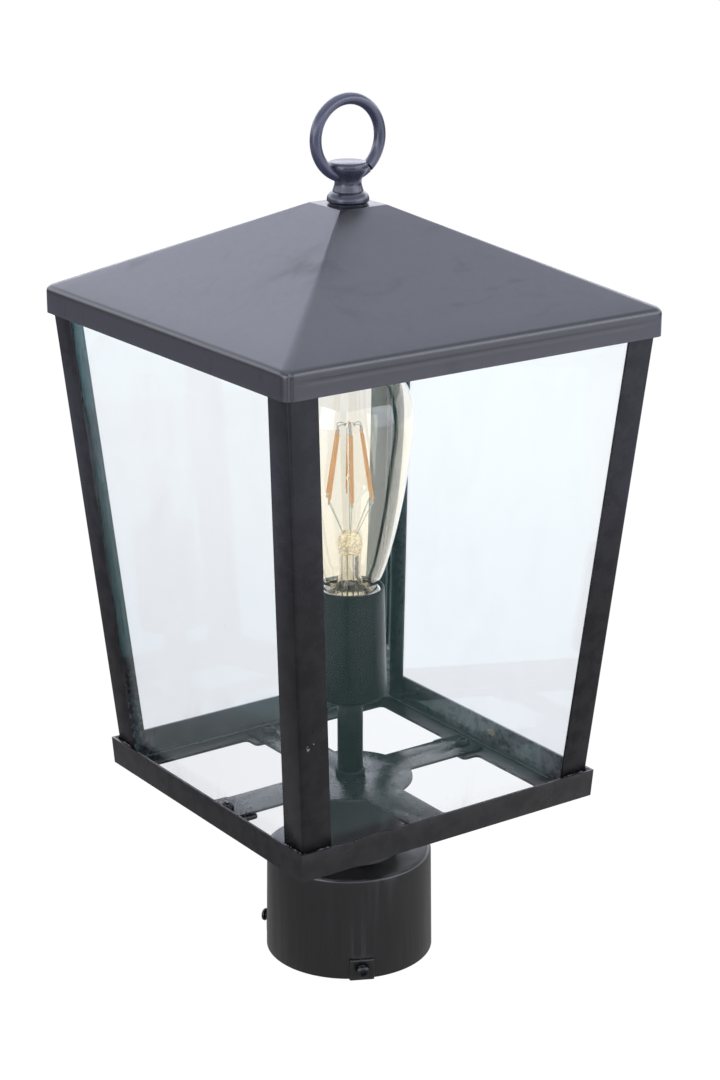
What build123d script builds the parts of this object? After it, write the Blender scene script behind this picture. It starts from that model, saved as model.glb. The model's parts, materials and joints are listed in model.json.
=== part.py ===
from build123d import *
import math
import os

# Post top lantern: a leaning four-sided glass lantern on a cup that slips over a round post.
# Frame: origin at the centre of the post cup's rim, +Z up, the glass faces look along X and Y.
# All lengths in millimetres, all angles in degrees.

# ---- post fitter: drawn cup with a flat shoulder and a narrower neck
post_bore_radius = 38.7
fitter_height = 87.6
fitter_rim_wall = 1.8
fitter_shoulder_wall = 1.1
fitter_shoulder_z = 51.5
fitter_sheet = 1.3
fitter_shoulder_fillet = 2.0
fitter_neck_radius = 25.0
fitter_neck_fillet = 3.0
pad_width = 12.0
pad_height = 10.6
pad_rise = 1.4
pad_fillet = 0.9

# ---- set screws
set_screw_count = 3
set_screw_turn = 3.6
set_screw_z = 5.8
set_screw_radius = 2.0
set_screw_clearance = 0.06
set_screw_head_radius = 3.1
set_screw_head_height = 1.9
set_screw_head_fillet = 1.0
set_screw_head_gap = 2.4
set_screw_tip_gap = 0.05
slot_width = 0.9
slot_depth = 0.9

# ---- base frame: angle section, upstand outside and flange inside
frame_sheet = 1.2
base_height = 13.2
base_half_bottom = 82.3
base_flare = 0.8
base_flange_width = 15.3
tab_margin = 3.2
tab_reach = 9.5
tab_fillet = 2.5

# ---- spider plate
spider_sheet = 1.2
hub_radius = 30.0
arm_half_width = 10.3
arm_glass_gap = 2.75
spider_screw_inset = 5.0

# ---- machine screws and nuts (M4)
m4_radius = 2.0
m4_clearance = 0.2
m4_head_radius = 3.6
m4_head_height = 2.2
m4_head_fillet = 1.2
m4_nut_flats = 7.0
m4_nut_height = 3.0
m4_tip = 1.5

# ---- corner posts: angle section leaning outwards
post_leg = 15.0
post_setback = 1.5
post_lean = 4.75
post_height = 232.0

# ---- top frame: upstand outside the posts, flange above them
top_frame_height = 8.5
top_flange_width = 15.0
top_frame_corner = 4.5
frame_gap = 0.1

# ---- glass panes
glass = 2.5
glass_gap = 0.15
glass_corner_gap = 0.6
glass_top_gap = 1.2

# ---- sealant beads in the corners of the panes
bead_leg = 3.4
bead_length = 28.0

# ---- roof
roof_sheet = 0.8
roof_gap = 0.22
roof_eave_rise = 2.0
roof_skirt_height = 12.1
roof_rise = 42.8
roof_tip_half = 12.6
roof_corner_radius = 4.5
roof_tip_corner_radius = 3.0
roof_eave_fillet = 3.6
roof_tip_fillet = 1.6

# ---- roof bridge: bent strap across the top frame
bridge_width = 16.0
bridge_sheet = 1.6
bridge_bend_radius = 4.8
bridge_drop = 20.6
bridge_screw_inset = 4.2
bridge_foot_reach = 3.8
bridge_foot_bend_inset = 4.0
bridge_top_bend = 36.0

# ---- roof stud, its nuts and the finial (M6 thread, 1 mm pitch)
stud_radius = 3.0
stud_clearance = 0.06
stud_hole_clearance = 0.2
stud_nut_flats = 10.0
stud_nut_height = 5.0
stud_tip = 2.0
stud_grip = 10.0
seat_nut_flange_radius = 9.0
seat_nut_flange = 1.2

# ---- finial
finial_washer_radius = 9.1
finial_washer_sheet = 1.0
neck_foot_radius = 8.5
neck_bead_radius = 9.5
neck_bead_z = 1.6
neck_bead_top_radius = 7.5
neck_bead_height = 5.0
neck_waist_radius = 5.9
neck_waist_z = 9.4
neck_top_radius = 8.3
neck_top_z = 14.4
neck_height = 17.8
neck_top_fillet = 0.8
ring_outer_radius = 20.0
ring_wire_radius = 2.5
ring_centre_above_neck = 10.5
thread_run_out = 1.6

# ---- threaded nipple and what it clamps (1/8 pipe thread)
nipple_radius = 5.0
nipple_wall = 1.4
nipple_clearance = 0.1
nipple_low_end = 9.0
nipple_nut_flats = 14.0
nipple_nut_height = 3.4
lock_washer_width = 3.2
lock_washer_sheet = 1.2
bushing_rim = 1.4
bushing_flange = 1.2
bushing_sleeve = 3.2
bushing_wall = 0.6

# ---- stem
stem_wall = 1.1
stem_height = 37.3
collar_rim = 1.0
collar_height = 3.9

# ---- lampholder
cup_sheet = 1.0
cup_height = 55.0
cup_taper = 1.4
cup_fillet = 3.5
socket_base_radius = 9.5
socket_base_height = 11.0
socket_gap = 0.6
socket_wall = 1.05
socket_fillet = 1.5
socket_top_gap = 1.6
shell_gap = 0.1
shell_sheet = 0.35
shell_depth = 22.5
shell_lip_inset = 0.1
contact_width = 5.0
contact_sheet = 0.5
contact_height = 4.0
contact_foot = 7.0
contact_chamber_gap = 1.0
contact_gap = 0.1
terminal_screw_radius = 1.6
terminal_shank = 2.0
terminal_head_radius = 2.8
terminal_head_height = 1.4
terminal_head_fillet = 0.8
terminal_rise = 5.6
lead_slot_width = 5.0
lead_slot_height = 4.5

# ---- bulb, heights measured from the tip of its base
bulb_seat_depth = 27.0
tip_radius = 4.8
tip_height = 1.8
tip_fillet = 1.25
insulator_radius_low = 5.4
insulator_radius_high = 9.6
insulator_top = 7.0
base_shell_radius = 13.1
base_shell_sheet = 0.3
base_shell_shoulder = 10.0
base_shell_top = 26.4
envelope_neck_gap = 0.5
envelope_neck_low = 21.0
envelope_neck_top = 27.5
envelope_waist = (15.6, 32.8)
envelope_middle = (21.5, 54.0)
envelope_upper = (27.6, 87.5)
envelope_widest = (30.0, 107.5)
envelope_top = 134.0
envelope_wall = 0.8
mount_flare_gap = 0.2
mount_tube_radius = 5.1
mount_tube_low = 33.0
mount_press_low = 45.0
mount_press_radius = 5.7
mount_press_top = 54.5
mount_rod_radius = 1.1
mount_button_radius = 2.1
mount_button_z = 105.0
mount_button_height = 1.0
mount_button_dome = 0.6
filament_count = 6
filament_turn = 5.0
filament_radius = 0.85
filament_top_offset = 6.4
filament_top_z = 102.0
filament_low_offset = 11.6
filament_low_z = 71.0
wire_radius = 0.25
wire_top_rise = 2.6
wire_press_radius = 3.4
wire_press_drop = 3.6

# ---- how far a cutter runs past what it cuts, and how near an edge counts as found
overrun = 1.0
near = 0.01

# ---- levels worked out from the sizes above
flange_top_z = fitter_height
base_z = flange_top_z - frame_sheet
hub_top_z = flange_top_z + spider_sheet
collar_top_z = hub_top_z + collar_height
stem_top_z = collar_top_z + stem_height
cup_floor_z = stem_top_z + cup_sheet
cup_top_z = stem_top_z + cup_height
socket_base_z = cup_floor_z + nipple_nut_height
socket_shoulder_z = socket_base_z + socket_base_height
socket_top_z = cup_top_z - socket_top_gap
shell_floor_z = socket_top_z - shell_depth
nipple_top_z = socket_base_z + socket_base_height / 2
bulb_tip_z = cup_top_z - bulb_seat_depth
contact_floor_z = bulb_tip_z - contact_gap - contact_height
post_top_z = flange_top_z + post_height
top_frame_z = post_top_z + frame_sheet
roof_eave_z = top_frame_z + roof_eave_rise
roof_skirt_z = roof_eave_z - roof_skirt_height
roof_tip_z = roof_eave_z + roof_rise
bridge_top_z = roof_tip_z - bridge_drop
neck_z = roof_tip_z + finial_washer_sheet
stud_top_z = neck_z + stud_grip

# ---- radii worked out from the sizes above
fitter_rim_radius = post_bore_radius + fitter_rim_wall
fitter_shoulder_radius = post_bore_radius + fitter_shoulder_wall
pad_face_radius = fitter_rim_radius + pad_rise
nipple_bore = nipple_radius - nipple_wall
stem_radius = nipple_radius + stem_wall
collar_radius = stem_radius + collar_rim
shell_inner_radius = base_shell_radius + shell_gap
shell_outer_radius = shell_inner_radius + shell_sheet
socket_radius = shell_outer_radius + shell_gap + socket_wall
shell_lip_radius = socket_radius - shell_lip_inset
cup_radius_top = socket_radius + socket_gap + cup_sheet
cup_radius_bottom = cup_radius_top + cup_taper
contact_chamber_radius = contact_foot + contact_chamber_gap
envelope_neck_radius = base_shell_radius - base_shell_sheet - envelope_neck_gap
mount_flare_radius = envelope_neck_radius - envelope_wall - mount_flare_gap
ring_centre_radius = ring_outer_radius - ring_wire_radius

# ---- half widths of the square parts
lean_slope = math.tan(math.radians(post_lean))
base_half_top = base_half_bottom + base_flare
base_window_half = base_half_bottom - base_flange_width
post_half_base = base_half_bottom - frame_sheet - post_setback
post_half_top = post_half_base + (top_frame_z - flange_top_z) * lean_slope
arm_end = post_half_base - frame_sheet - glass_gap - glass - arm_glass_gap
spider_screw_offset = arm_end - spider_screw_inset
tab_end = spider_screw_offset - tab_reach
tab_half_width = arm_half_width + tab_margin
top_window_half = post_half_top - top_flange_width
bridge_screw_offset = top_window_half + bridge_screw_inset
bridge_foot_end = bridge_screw_offset + bridge_foot_reach
bridge_foot_bend = top_window_half - bridge_foot_bend_inset
roof_half = post_half_top + frame_gap + frame_sheet + roof_gap + roof_sheet
roof_slope = roof_rise / (roof_half - roof_tip_half)
roof_pitch = math.atan(roof_slope)

# ---- turns about the axis
sides = [0, 90, 180, 270]
set_screw_turns = [set_screw_turn + index * 360 / set_screw_count for index in range(set_screw_count)]
filament_turns = [filament_turn + index * 360 / filament_count for index in range(filament_count)]


def post_half(z):
    """Half width over the corner posts at height z."""
    return post_half_base + (z - flange_top_z) * lean_slope


def glass_half(z):
    """Half width over the outer faces of the panes at height z."""
    return post_half(z) - frame_sheet - glass_gap


def square_frustum(low_half, low_z, high_half, high_z):
    """Four-sided block whose sides lean from one square to another."""
    low = Plane.XY.offset(low_z) * Rectangle(2 * low_half, 2 * low_half)
    high = Plane.XY.offset(high_z) * Rectangle(2 * high_half, 2 * high_half)
    return loft([low, high], ruled=True)


def upright(radius, low_z, high_z):
    """Round bar on the lantern's axis."""
    bar = Cylinder(radius, high_z - low_z, align=(Align.CENTER, Align.CENTER, Align.MIN))
    return Pos(0, 0, low_z) * bar


def hexagon_bar(flats, low_z, high_z):
    """Hexagonal bar on the lantern's axis, measured across its flats."""
    outline = RegularPolygon(flats / 2, 6, major_radius=False)
    return extrude(Plane.XY.offset(low_z) * outline, high_z - low_z)


def chamfered_nut(flats, low_z, high_z, hole_radius):
    """Hexagonal nut with its corners turned down."""
    corner_radius = flats / math.sqrt(3)
    blank = upright(corner_radius, low_z, high_z)
    turned = chamfer(blank.edges().filter_by(GeomType.CIRCLE), corner_radius - flats / 2)
    nut = hexagon_bar(flats, low_z, high_z) & turned
    return nut - upright(hole_radius, low_z - overrun, high_z + overrun)


def pan_head(radius, height, rounding, low_z):
    """Domed screw head standing on low_z."""
    head = upright(radius, low_z, low_z + height)
    return fillet(head.edges().group_by(Axis.Z)[-1], rounding)


def around(shape, angles):
    """Copies of a shape turned about the lantern's axis, as separate solids."""
    solids = [Rot(0, 0, angle) * solid for angle in angles for solid in shape.solids()]
    return Compound(children=solids)


def save(shape, name):
    export_step(shape, os.path.join("parts", name + ".step"))


# ---- post fitter

def fitter_profile(rim, shoulder, shoulder_z, neck, top_z, shoulder_fillet, neck_fillet):
    """Half section of the cup, from the axis out and down to the rim."""
    corners = [(0, top_z), (neck, top_z), (neck, shoulder_z), (shoulder, shoulder_z), (rim, 0), (0, 0)]
    outline = make_face(Plane.XZ * Polyline(*corners, close=True))
    neck_corner = outline.vertices().sort_by_distance(Vector(neck, 0, top_z))[0]
    outline = fillet(neck_corner, neck_fillet)
    shoulder_corner = outline.vertices().sort_by_distance(Vector(shoulder, 0, shoulder_z))[0]
    return fillet(shoulder_corner, shoulder_fillet)


def make_post_fitter():
    outer = revolve(fitter_profile(fitter_rim_radius, fitter_shoulder_radius, fitter_shoulder_z,
                                   fitter_neck_radius, flange_top_z,
                                   fitter_shoulder_fillet, fitter_neck_fillet), Axis.Z)
    pad_depth = pad_face_radius - post_bore_radius
    pad = Box(pad_depth, pad_width, pad_height, align=(Align.MIN, Align.CENTER, Align.MIN))
    pad = fillet(pad.edges().group_by(Axis.X)[-1].sort_by(Axis.Z)[1:], pad_fillet)
    pad = Pos(post_bore_radius, 0, 0) * pad
    inner = revolve(fitter_profile(post_bore_radius, post_bore_radius, fitter_shoulder_z - fitter_sheet,
                                   fitter_neck_radius - fitter_sheet, flange_top_z - fitter_sheet,
                                   fitter_shoulder_fillet, fitter_neck_fillet - fitter_sheet), Axis.Z)
    body = outer
    for turn in set_screw_turns:
        body += Rot(0, 0, turn) * pad
    body -= inner
    screw_hole = Pos(post_bore_radius, 0, set_screw_z) * Rot(0, 90, 0) * Cylinder(
        set_screw_radius + set_screw_clearance, 2 * pad_depth)
    for turn in set_screw_turns:
        body -= Rot(0, 0, turn) * screw_hole
    return body - upright(nipple_radius + nipple_clearance, fitter_shoulder_z, flange_top_z + overrun)


def make_set_screw():
    tip = post_bore_radius + set_screw_tip_gap
    head_low = pad_face_radius + set_screw_head_gap
    shank = upright(set_screw_radius, tip, head_low)
    screw = shank + pan_head(set_screw_head_radius, set_screw_head_height, set_screw_head_fillet, head_low)
    slot = Pos(0, 0, head_low + set_screw_head_height) * Box(
        2 * set_screw_head_radius, slot_width, 2 * slot_depth)
    return Pos(0, 0, set_screw_z) * Rot(0, 90, 0) * (screw - slot)


# ---- base frame, posts and top frame

def make_base_frame():
    upstand = square_frustum(base_half_bottom, base_z, base_half_top, base_z + base_height)
    lean = (base_half_top - base_half_bottom) / base_height
    inner_low = base_half_bottom + lean * frame_sheet - frame_sheet
    hollow_top = base_z + base_height + overrun
    hollow = square_frustum(inner_low, flange_top_z,
                            inner_low + lean * (hollow_top - flange_top_z), hollow_top)
    window = Rectangle(2 * base_window_half, 2 * base_window_half)
    tab_depth = base_window_half - tab_end
    for turn in sides:
        tab = Pos(tab_end + tab_depth / 2, 0) * Rectangle(tab_depth, 2 * tab_half_width)
        window -= Rot(0, 0, turn) * tab
    window = fillet(window.vertices(), tab_fillet)
    cutter = extrude(Plane.XY.offset(base_z - overrun) * window, frame_sheet + 2 * overrun)
    frame = upstand - hollow - cutter
    hole = Pos(spider_screw_offset, 0, 0) * upright(m4_radius + m4_clearance, base_z - overrun, hub_top_z)
    for turn in sides:
        frame -= Rot(0, 0, turn) * hole
    return frame


def post_section(z):
    """Angle section of the corner post at (-, -), at height z."""
    outer = -post_half(z)
    edge = outer + post_leg
    inner = outer + frame_sheet
    corners = [(outer, outer), (edge, outer), (edge, inner), (inner, inner), (inner, edge), (outer, edge)]
    return make_face(Plane.XY.offset(z) * Polyline(*corners, close=True))


def make_corner_post():
    return loft([post_section(flange_top_z), post_section(post_top_z)], ruled=True)


def make_top_frame():
    low_z = top_frame_z - top_frame_height
    outer = square_frustum(post_half(low_z) + frame_gap + frame_sheet, low_z,
                           post_half(top_frame_z) + frame_gap + frame_sheet, top_frame_z)
    corners = [edge for edge in outer.edges() if edge.bounding_box().size.Z > top_frame_height / 2]
    outer = fillet(corners, top_frame_corner)
    below = low_z - overrun
    hollow = square_frustum(post_half(below) + frame_gap, below,
                            post_half(post_top_z) + frame_gap, post_top_z)
    window = Box(2 * top_window_half, 2 * top_window_half, 4 * frame_sheet)
    frame = outer - hollow - Pos(0, 0, top_frame_z) * window
    hole = Pos(bridge_screw_offset, 0, 0) * upright(m4_radius + m4_clearance, low_z, top_frame_z + overrun)
    for turn in (0, 180):
        frame -= Rot(0, 0, turn) * hole
    return frame


# ---- spider plate

def make_spider_plate():
    outline = Circle(hub_radius)
    for turn in sides:
        outline += Rot(0, 0, turn) * Pos(arm_end / 2, 0) * Rectangle(arm_end, 2 * arm_half_width)
    plate = extrude(Plane.XY.offset(flange_top_z) * outline, spider_sheet)
    plate -= upright(nipple_radius + nipple_clearance, flange_top_z - overrun, hub_top_z + overrun)
    hole = Pos(spider_screw_offset, 0, 0) * upright(m4_radius + m4_clearance, base_z, hub_top_z + overrun)
    for turn in sides:
        plate -= Rot(0, 0, turn) * hole
    return plate


def make_machine_screw(seat_z, nut_low_z):
    """Screw standing head up on seat_z, its tip just past a nut that starts at nut_low_z."""
    screw = upright(m4_radius, nut_low_z - m4_tip, seat_z)
    screw += pan_head(m4_head_radius, m4_head_height, m4_head_fillet, seat_z)
    top_z = seat_z + m4_head_height
    slots = Box(m4_head_radius, slot_width, 2 * slot_depth) + Box(slot_width, m4_head_radius, 2 * slot_depth)
    return screw - Pos(0, 0, top_z) * slots


def make_machine_nut(low_z):
    return chamfered_nut(m4_nut_flats, low_z, low_z + m4_nut_height, m4_radius)


# ---- glass

def pane_section(z):
    """Section of the pane on the -Y side at height z."""
    outer = -glass_half(z)
    inner = outer + glass
    reach = -inner - glass_corner_gap
    return make_face(Plane.XY.offset(z) * Polyline((-reach, outer), (reach, outer), (reach, inner),
                                                   (-reach, inner), close=True))


def make_pane():
    return loft([pane_section(flange_top_z), pane_section(post_top_z - glass_top_gap)], ruled=True)


def bead_section(z):
    """Bead of sealant between two panes at the (-, -) corner."""
    inner = -glass_half(z) + glass
    far = inner + bead_leg
    return make_face(Plane.XY.offset(z) * Polyline((inner, inner), (far, inner), (inner, far), close=True))


def make_bead(low_z):
    return loft([bead_section(low_z), bead_section(low_z + bead_length)], ruled=True)


# ---- roof

def rounded_square(half, radius, z):
    return Plane.XY.offset(z) * RectangleRounded(2 * half, 2 * half, radius)


def roof_form(half, skirt_z, eave_z, tip_half, tip_z, corner, tip_corner, eave_fillet, tip_fillet):
    """Solid pyramid with a flat tip on an upright skirt, its eave and tip rounded."""
    skirt = extrude(rounded_square(half, corner, skirt_z), eave_z - skirt_z)
    slope = loft([rounded_square(half, corner, eave_z), rounded_square(tip_half, tip_corner, tip_z)],
                 ruled=True)
    form = skirt + slope
    eave_edges = form.edges().filter_by_position(Axis.Z, eave_z - near, eave_z + near)
    form = fillet(eave_edges, eave_fillet)
    tip_edges = form.edges().filter_by_position(Axis.Z, tip_z - near, tip_z + near)
    return fillet(tip_edges, tip_fillet)


def make_roof():
    outer = roof_form(roof_half, roof_skirt_z, roof_eave_z, roof_tip_half, roof_tip_z,
                      roof_corner_radius, roof_tip_corner_radius, roof_eave_fillet, roof_tip_fillet)
    slant = roof_sheet / math.cos(roof_pitch)
    inner_eave_z = roof_eave_z + roof_sheet * roof_slope - slant
    inner_tip_z = roof_tip_z - roof_sheet
    inner_tip_half = roof_half - (inner_tip_z - roof_eave_z + slant) / roof_slope
    inner = roof_form(roof_half - roof_sheet, roof_skirt_z - overrun, inner_eave_z,
                      inner_tip_half, inner_tip_z, roof_corner_radius - roof_sheet, roof_tip_corner_radius,
                      roof_eave_fillet - roof_sheet, roof_tip_fillet)
    hole = upright(stud_radius + stud_hole_clearance, inner_tip_z - overrun, roof_tip_z + overrun)
    return outer - inner - hole


# ---- bridge, stud and nuts

def make_roof_bridge():
    under_line = FilletPolyline(
        (-bridge_foot_end, top_frame_z), (-bridge_foot_bend, top_frame_z), (-bridge_top_bend, bridge_top_z),
        (bridge_top_bend, bridge_top_z), (bridge_foot_bend, top_frame_z), (bridge_foot_end, top_frame_z),
        radius=bridge_bend_radius)
    strip = offset(Plane.XZ * under_line, bridge_sheet, side=Side.RIGHT)
    bridge = extrude(make_face(strip), bridge_width / 2, both=True)
    hole = upright(m4_radius + m4_clearance, top_frame_z - overrun, top_frame_z + bridge_sheet + overrun)
    for place in (-bridge_screw_offset, bridge_screw_offset):
        bridge -= Pos(place, 0, 0) * hole
    return bridge - upright(stud_radius + stud_hole_clearance, bridge_top_z - overrun,
                            bridge_top_z + bridge_sheet + overrun)


def make_seat_nut():
    flange_z = roof_tip_z - roof_sheet
    low_z = flange_z - seat_nut_flange - stud_nut_height
    nut = chamfered_nut(stud_nut_flats, low_z, flange_z - seat_nut_flange, stud_radius)
    flange = upright(seat_nut_flange_radius, flange_z - seat_nut_flange, flange_z)
    return nut + (flange - upright(stud_radius, low_z, flange_z + overrun))


# ---- finial

def make_finial_neck():
    bead_top = (neck_bead_top_radius, neck_z + neck_bead_height)
    rim_low = (neck_top_radius, neck_z + neck_top_z)
    top = neck_z + neck_height
    with BuildPart() as turned:
        with BuildSketch(Plane.XZ):
            with BuildLine():
                Line((0, neck_z), (neck_foot_radius, neck_z))
                ThreePointArc((neck_foot_radius, neck_z), (neck_bead_radius, neck_z + neck_bead_z), bead_top)
                Spline(bead_top, (neck_waist_radius, neck_z + neck_waist_z), rim_low,
                       tangents=((-1, 0.6), (0.5, 1)))
                Polyline(rim_low, (neck_top_radius, top), (0, top), (0, neck_z))
            make_face()
        revolve(axis=Axis.Z)
        fillet(turned.edges().group_by(Axis.Z)[-1], neck_top_fillet)
    bore = upright(stud_radius + stud_clearance, neck_z - overrun, stud_top_z + thread_run_out)
    return turned.part - bore


def make_finial_ring(neck):
    centre_z = neck_z + neck_height + ring_centre_above_neck
    ring = Torus(ring_centre_radius, ring_wire_radius)
    ring = Pos(0, 0, centre_z) * Rot(90, 0, 0) * ring
    inside_neck = upright(neck_top_radius, neck_z, neck_z + neck_height)
    ring -= inside_neck
    ring -= neck
    return max(ring.solids(), key=lambda solid: solid.volume)


# ---- stem, cup and socket

def tube(outer_radius, inner_radius, low_z, high_z):
    return upright(outer_radius, low_z, high_z) - upright(inner_radius, low_z - overrun, high_z + overrun)


def make_lead_bushing(nipple_low_z):
    low = nipple_low_z - bushing_flange
    hole_radius = nipple_bore - bushing_wall
    flange = tube(nipple_radius + bushing_rim, hole_radius, low, nipple_low_z)
    return flange + tube(nipple_bore, hole_radius, low, nipple_low_z + bushing_sleeve)


def make_socket_cup():
    outer = loft([Plane.XY.offset(stem_top_z) * Circle(cup_radius_bottom),
                  Plane.XY.offset(cup_top_z) * Circle(cup_radius_top)])
    outer = fillet(outer.edges().group_by(Axis.Z)[0], cup_fillet)
    inner = loft([Plane.XY.offset(cup_floor_z) * Circle(cup_radius_bottom - cup_sheet),
                  Plane.XY.offset(cup_top_z + overrun) * Circle(cup_radius_top - cup_sheet)])
    inner = fillet(inner.edges().group_by(Axis.Z)[0], cup_fillet - cup_sheet)
    hole = upright(nipple_radius + nipple_clearance, stem_top_z - overrun, cup_floor_z + overrun)
    return outer - inner - hole


def make_socket_body():
    body = upright(socket_base_radius, socket_base_z, socket_shoulder_z)
    barrel = upright(socket_radius, socket_shoulder_z, socket_top_z)
    body += fillet(barrel.edges().group_by(Axis.Z)[0], socket_fillet)
    body -= upright(shell_outer_radius + shell_gap, shell_floor_z, socket_top_z + overrun)
    body -= upright(contact_chamber_radius, contact_floor_z, shell_floor_z + overrun)
    body -= upright(nipple_radius, socket_base_z - overrun, nipple_top_z)
    lead_slot = Box(lead_slot_width, 2 * (socket_base_radius + overrun), lead_slot_height,
                    align=(Align.CENTER, Align.CENTER, Align.MIN))
    body -= Pos(0, 0, nipple_top_z) * lead_slot
    hole = upright(terminal_screw_radius, socket_base_radius - terminal_shank, socket_base_radius + overrun)
    for turn in (0, 180):
        body -= Rot(0, 0, turn) * Pos(0, 0, socket_base_z + terminal_rise) * Rot(0, 90, 0) * hole
    return body


def make_screw_shell():
    shell = tube(shell_outer_radius, shell_inner_radius, shell_floor_z, socket_top_z + shell_sheet)
    lip = tube(shell_lip_radius, shell_inner_radius, socket_top_z, socket_top_z + shell_sheet)
    floor = tube(shell_outer_radius, contact_chamber_radius, shell_floor_z, shell_floor_z + shell_sheet)
    return shell + lip + floor


def make_centre_contact():
    low = contact_floor_z
    crest = bulb_tip_z - contact_gap - contact_sheet
    arch = FilletPolyline((-contact_foot, low), (-contact_foot / 2, low), (-contact_width / 2, crest),
                          (contact_width / 2, crest), (contact_foot / 2, low), (contact_foot, low),
                          radius=contact_sheet)
    strip = offset(Plane.XZ * arch, contact_sheet, side=Side.RIGHT)
    return extrude(make_face(strip), contact_width / 2, both=True)


def make_terminal_screws():
    shank = upright(terminal_screw_radius, socket_base_radius - terminal_shank, socket_base_radius)
    screw = shank + pan_head(terminal_head_radius, terminal_head_height, terminal_head_fillet,
                             socket_base_radius)
    screw = Pos(0, 0, socket_base_z + terminal_rise) * Rot(0, 90, 0) * screw
    return around(screw, (0, 180))


# ---- bulb

def bulb_level(height):
    return bulb_tip_z + height


def revolved(points):
    """Solid turned about the axis from the (radius, z) corners of its half section."""
    return revolve(make_face(Plane.XZ * Polyline(*points, close=True)), Axis.Z)


def envelope_solid(inset):
    """The bulb's glass outline, moved inwards by inset."""
    neck = envelope_neck_radius - inset
    low = bulb_level(envelope_neck_low)
    bend = bulb_level(envelope_neck_top)
    top = bulb_level(envelope_top) - inset
    knots = [(radius - inset, bulb_level(height)) for radius, height in
             (envelope_waist, envelope_middle, envelope_upper, envelope_widest)]
    with BuildPart() as blown:
        with BuildSketch(Plane.XZ):
            with BuildLine():
                Line((0, low), (neck, low))
                Line((neck, low), (neck, bend))
                side = Spline((neck, bend), *knots, tangents=((0, 1), (0, 1)))
                Spline(side @ 1, (0, top), tangents=((0, 1.2), (-1.3, 0)))
                Line((0, top), (0, low))
            make_face()
        revolve(axis=Axis.Z)
    return blown.part


def make_bulb_glass():
    low = bulb_level(envelope_neck_low)
    mouth = upright(envelope_neck_radius - envelope_wall, low - overrun, low + overrun)
    return envelope_solid(0) - envelope_solid(envelope_wall) - mouth


def make_bulb_base():
    low = bulb_level(insulator_top)
    shoulder = bulb_level(base_shell_shoulder)
    top = bulb_level(base_shell_top)
    sheet = base_shell_sheet
    outside = [(insulator_radius_high, low), (base_shell_radius, shoulder), (base_shell_radius, top)]
    inside = [(base_shell_radius - sheet, top), (base_shell_radius - sheet, shoulder + sheet),
              (insulator_radius_high, low + sheet)]
    return revolved(outside + inside)


def make_bulb_insulator():
    low = bulb_level(tip_height)
    top = bulb_level(insulator_top)
    return revolved([(0, low), (insulator_radius_low, low), (insulator_radius_high, top), (0, top)])


def make_bulb_tip():
    tip = upright(tip_radius, bulb_level(0), bulb_level(tip_height))
    return fillet(tip.edges().group_by(Axis.Z)[0], tip_fillet)


def make_bulb_mount():
    low = bulb_level(envelope_neck_low)
    tube_low = bulb_level(mount_tube_low)
    press_low = bulb_level(mount_press_low)
    press_top = bulb_level(mount_press_top)
    button = bulb_level(mount_button_z)
    button_rim = button + mount_button_height
    with BuildPart() as mount:
        with BuildSketch(Plane.XZ):
            with BuildLine():
                Line((0, low), (mount_flare_radius, low))
                Spline((mount_flare_radius, low), (mount_tube_radius, tube_low),
                       tangents=((-1, 0.3), (0, 1)))
                Line((mount_tube_radius, tube_low), (mount_tube_radius, press_low))
                Spline((mount_tube_radius, press_low), (mount_press_radius, (press_low + press_top) / 2),
                       (mount_rod_radius, press_top), tangents=((0.3, 1), (-1, 0.6)))
                Polyline((mount_rod_radius, press_top), (mount_rod_radius, button),
                         (mount_button_radius, button), (mount_button_radius, button_rim),
                         (0, button_rim + mount_button_dome), (0, low))
            make_face()
        revolve(axis=Axis.Z)
    return mount.part


def bar_between(start, end, radius):
    """Round bar from one point to another."""
    path = Vector(*end) - Vector(*start)
    plane = Plane(origin=start, z_dir=path)
    return extrude(plane * Circle(radius), path.length)


def make_filaments():
    bar = bar_between((filament_top_offset, 0, bulb_level(filament_top_z)),
                      (filament_low_offset, 0, bulb_level(filament_low_z)), filament_radius)
    return around(bar, filament_turns)


def make_filament_supports():
    top = (filament_top_offset, 0, bulb_level(filament_top_z))
    hook = (filament_top_offset, 0, bulb_level(filament_top_z) + wire_top_rise)
    button = (mount_button_radius, 0, bulb_level(mount_button_z) + mount_button_height / 2)
    low = (filament_low_offset, 0, bulb_level(filament_low_z))
    press = (wire_press_radius, 0, bulb_level(mount_press_top) - wire_press_drop)
    upper = bar_between(top, hook, wire_radius) + bar_between(hook, button, wire_radius)
    upper += Pos(*hook) * Sphere(wire_radius)
    lower = bar_between(press, low, wire_radius)
    return around(Compound(children=[upper.solids()[0], lower.solids()[0]]), filament_turns)


# ---- all pieces

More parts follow.
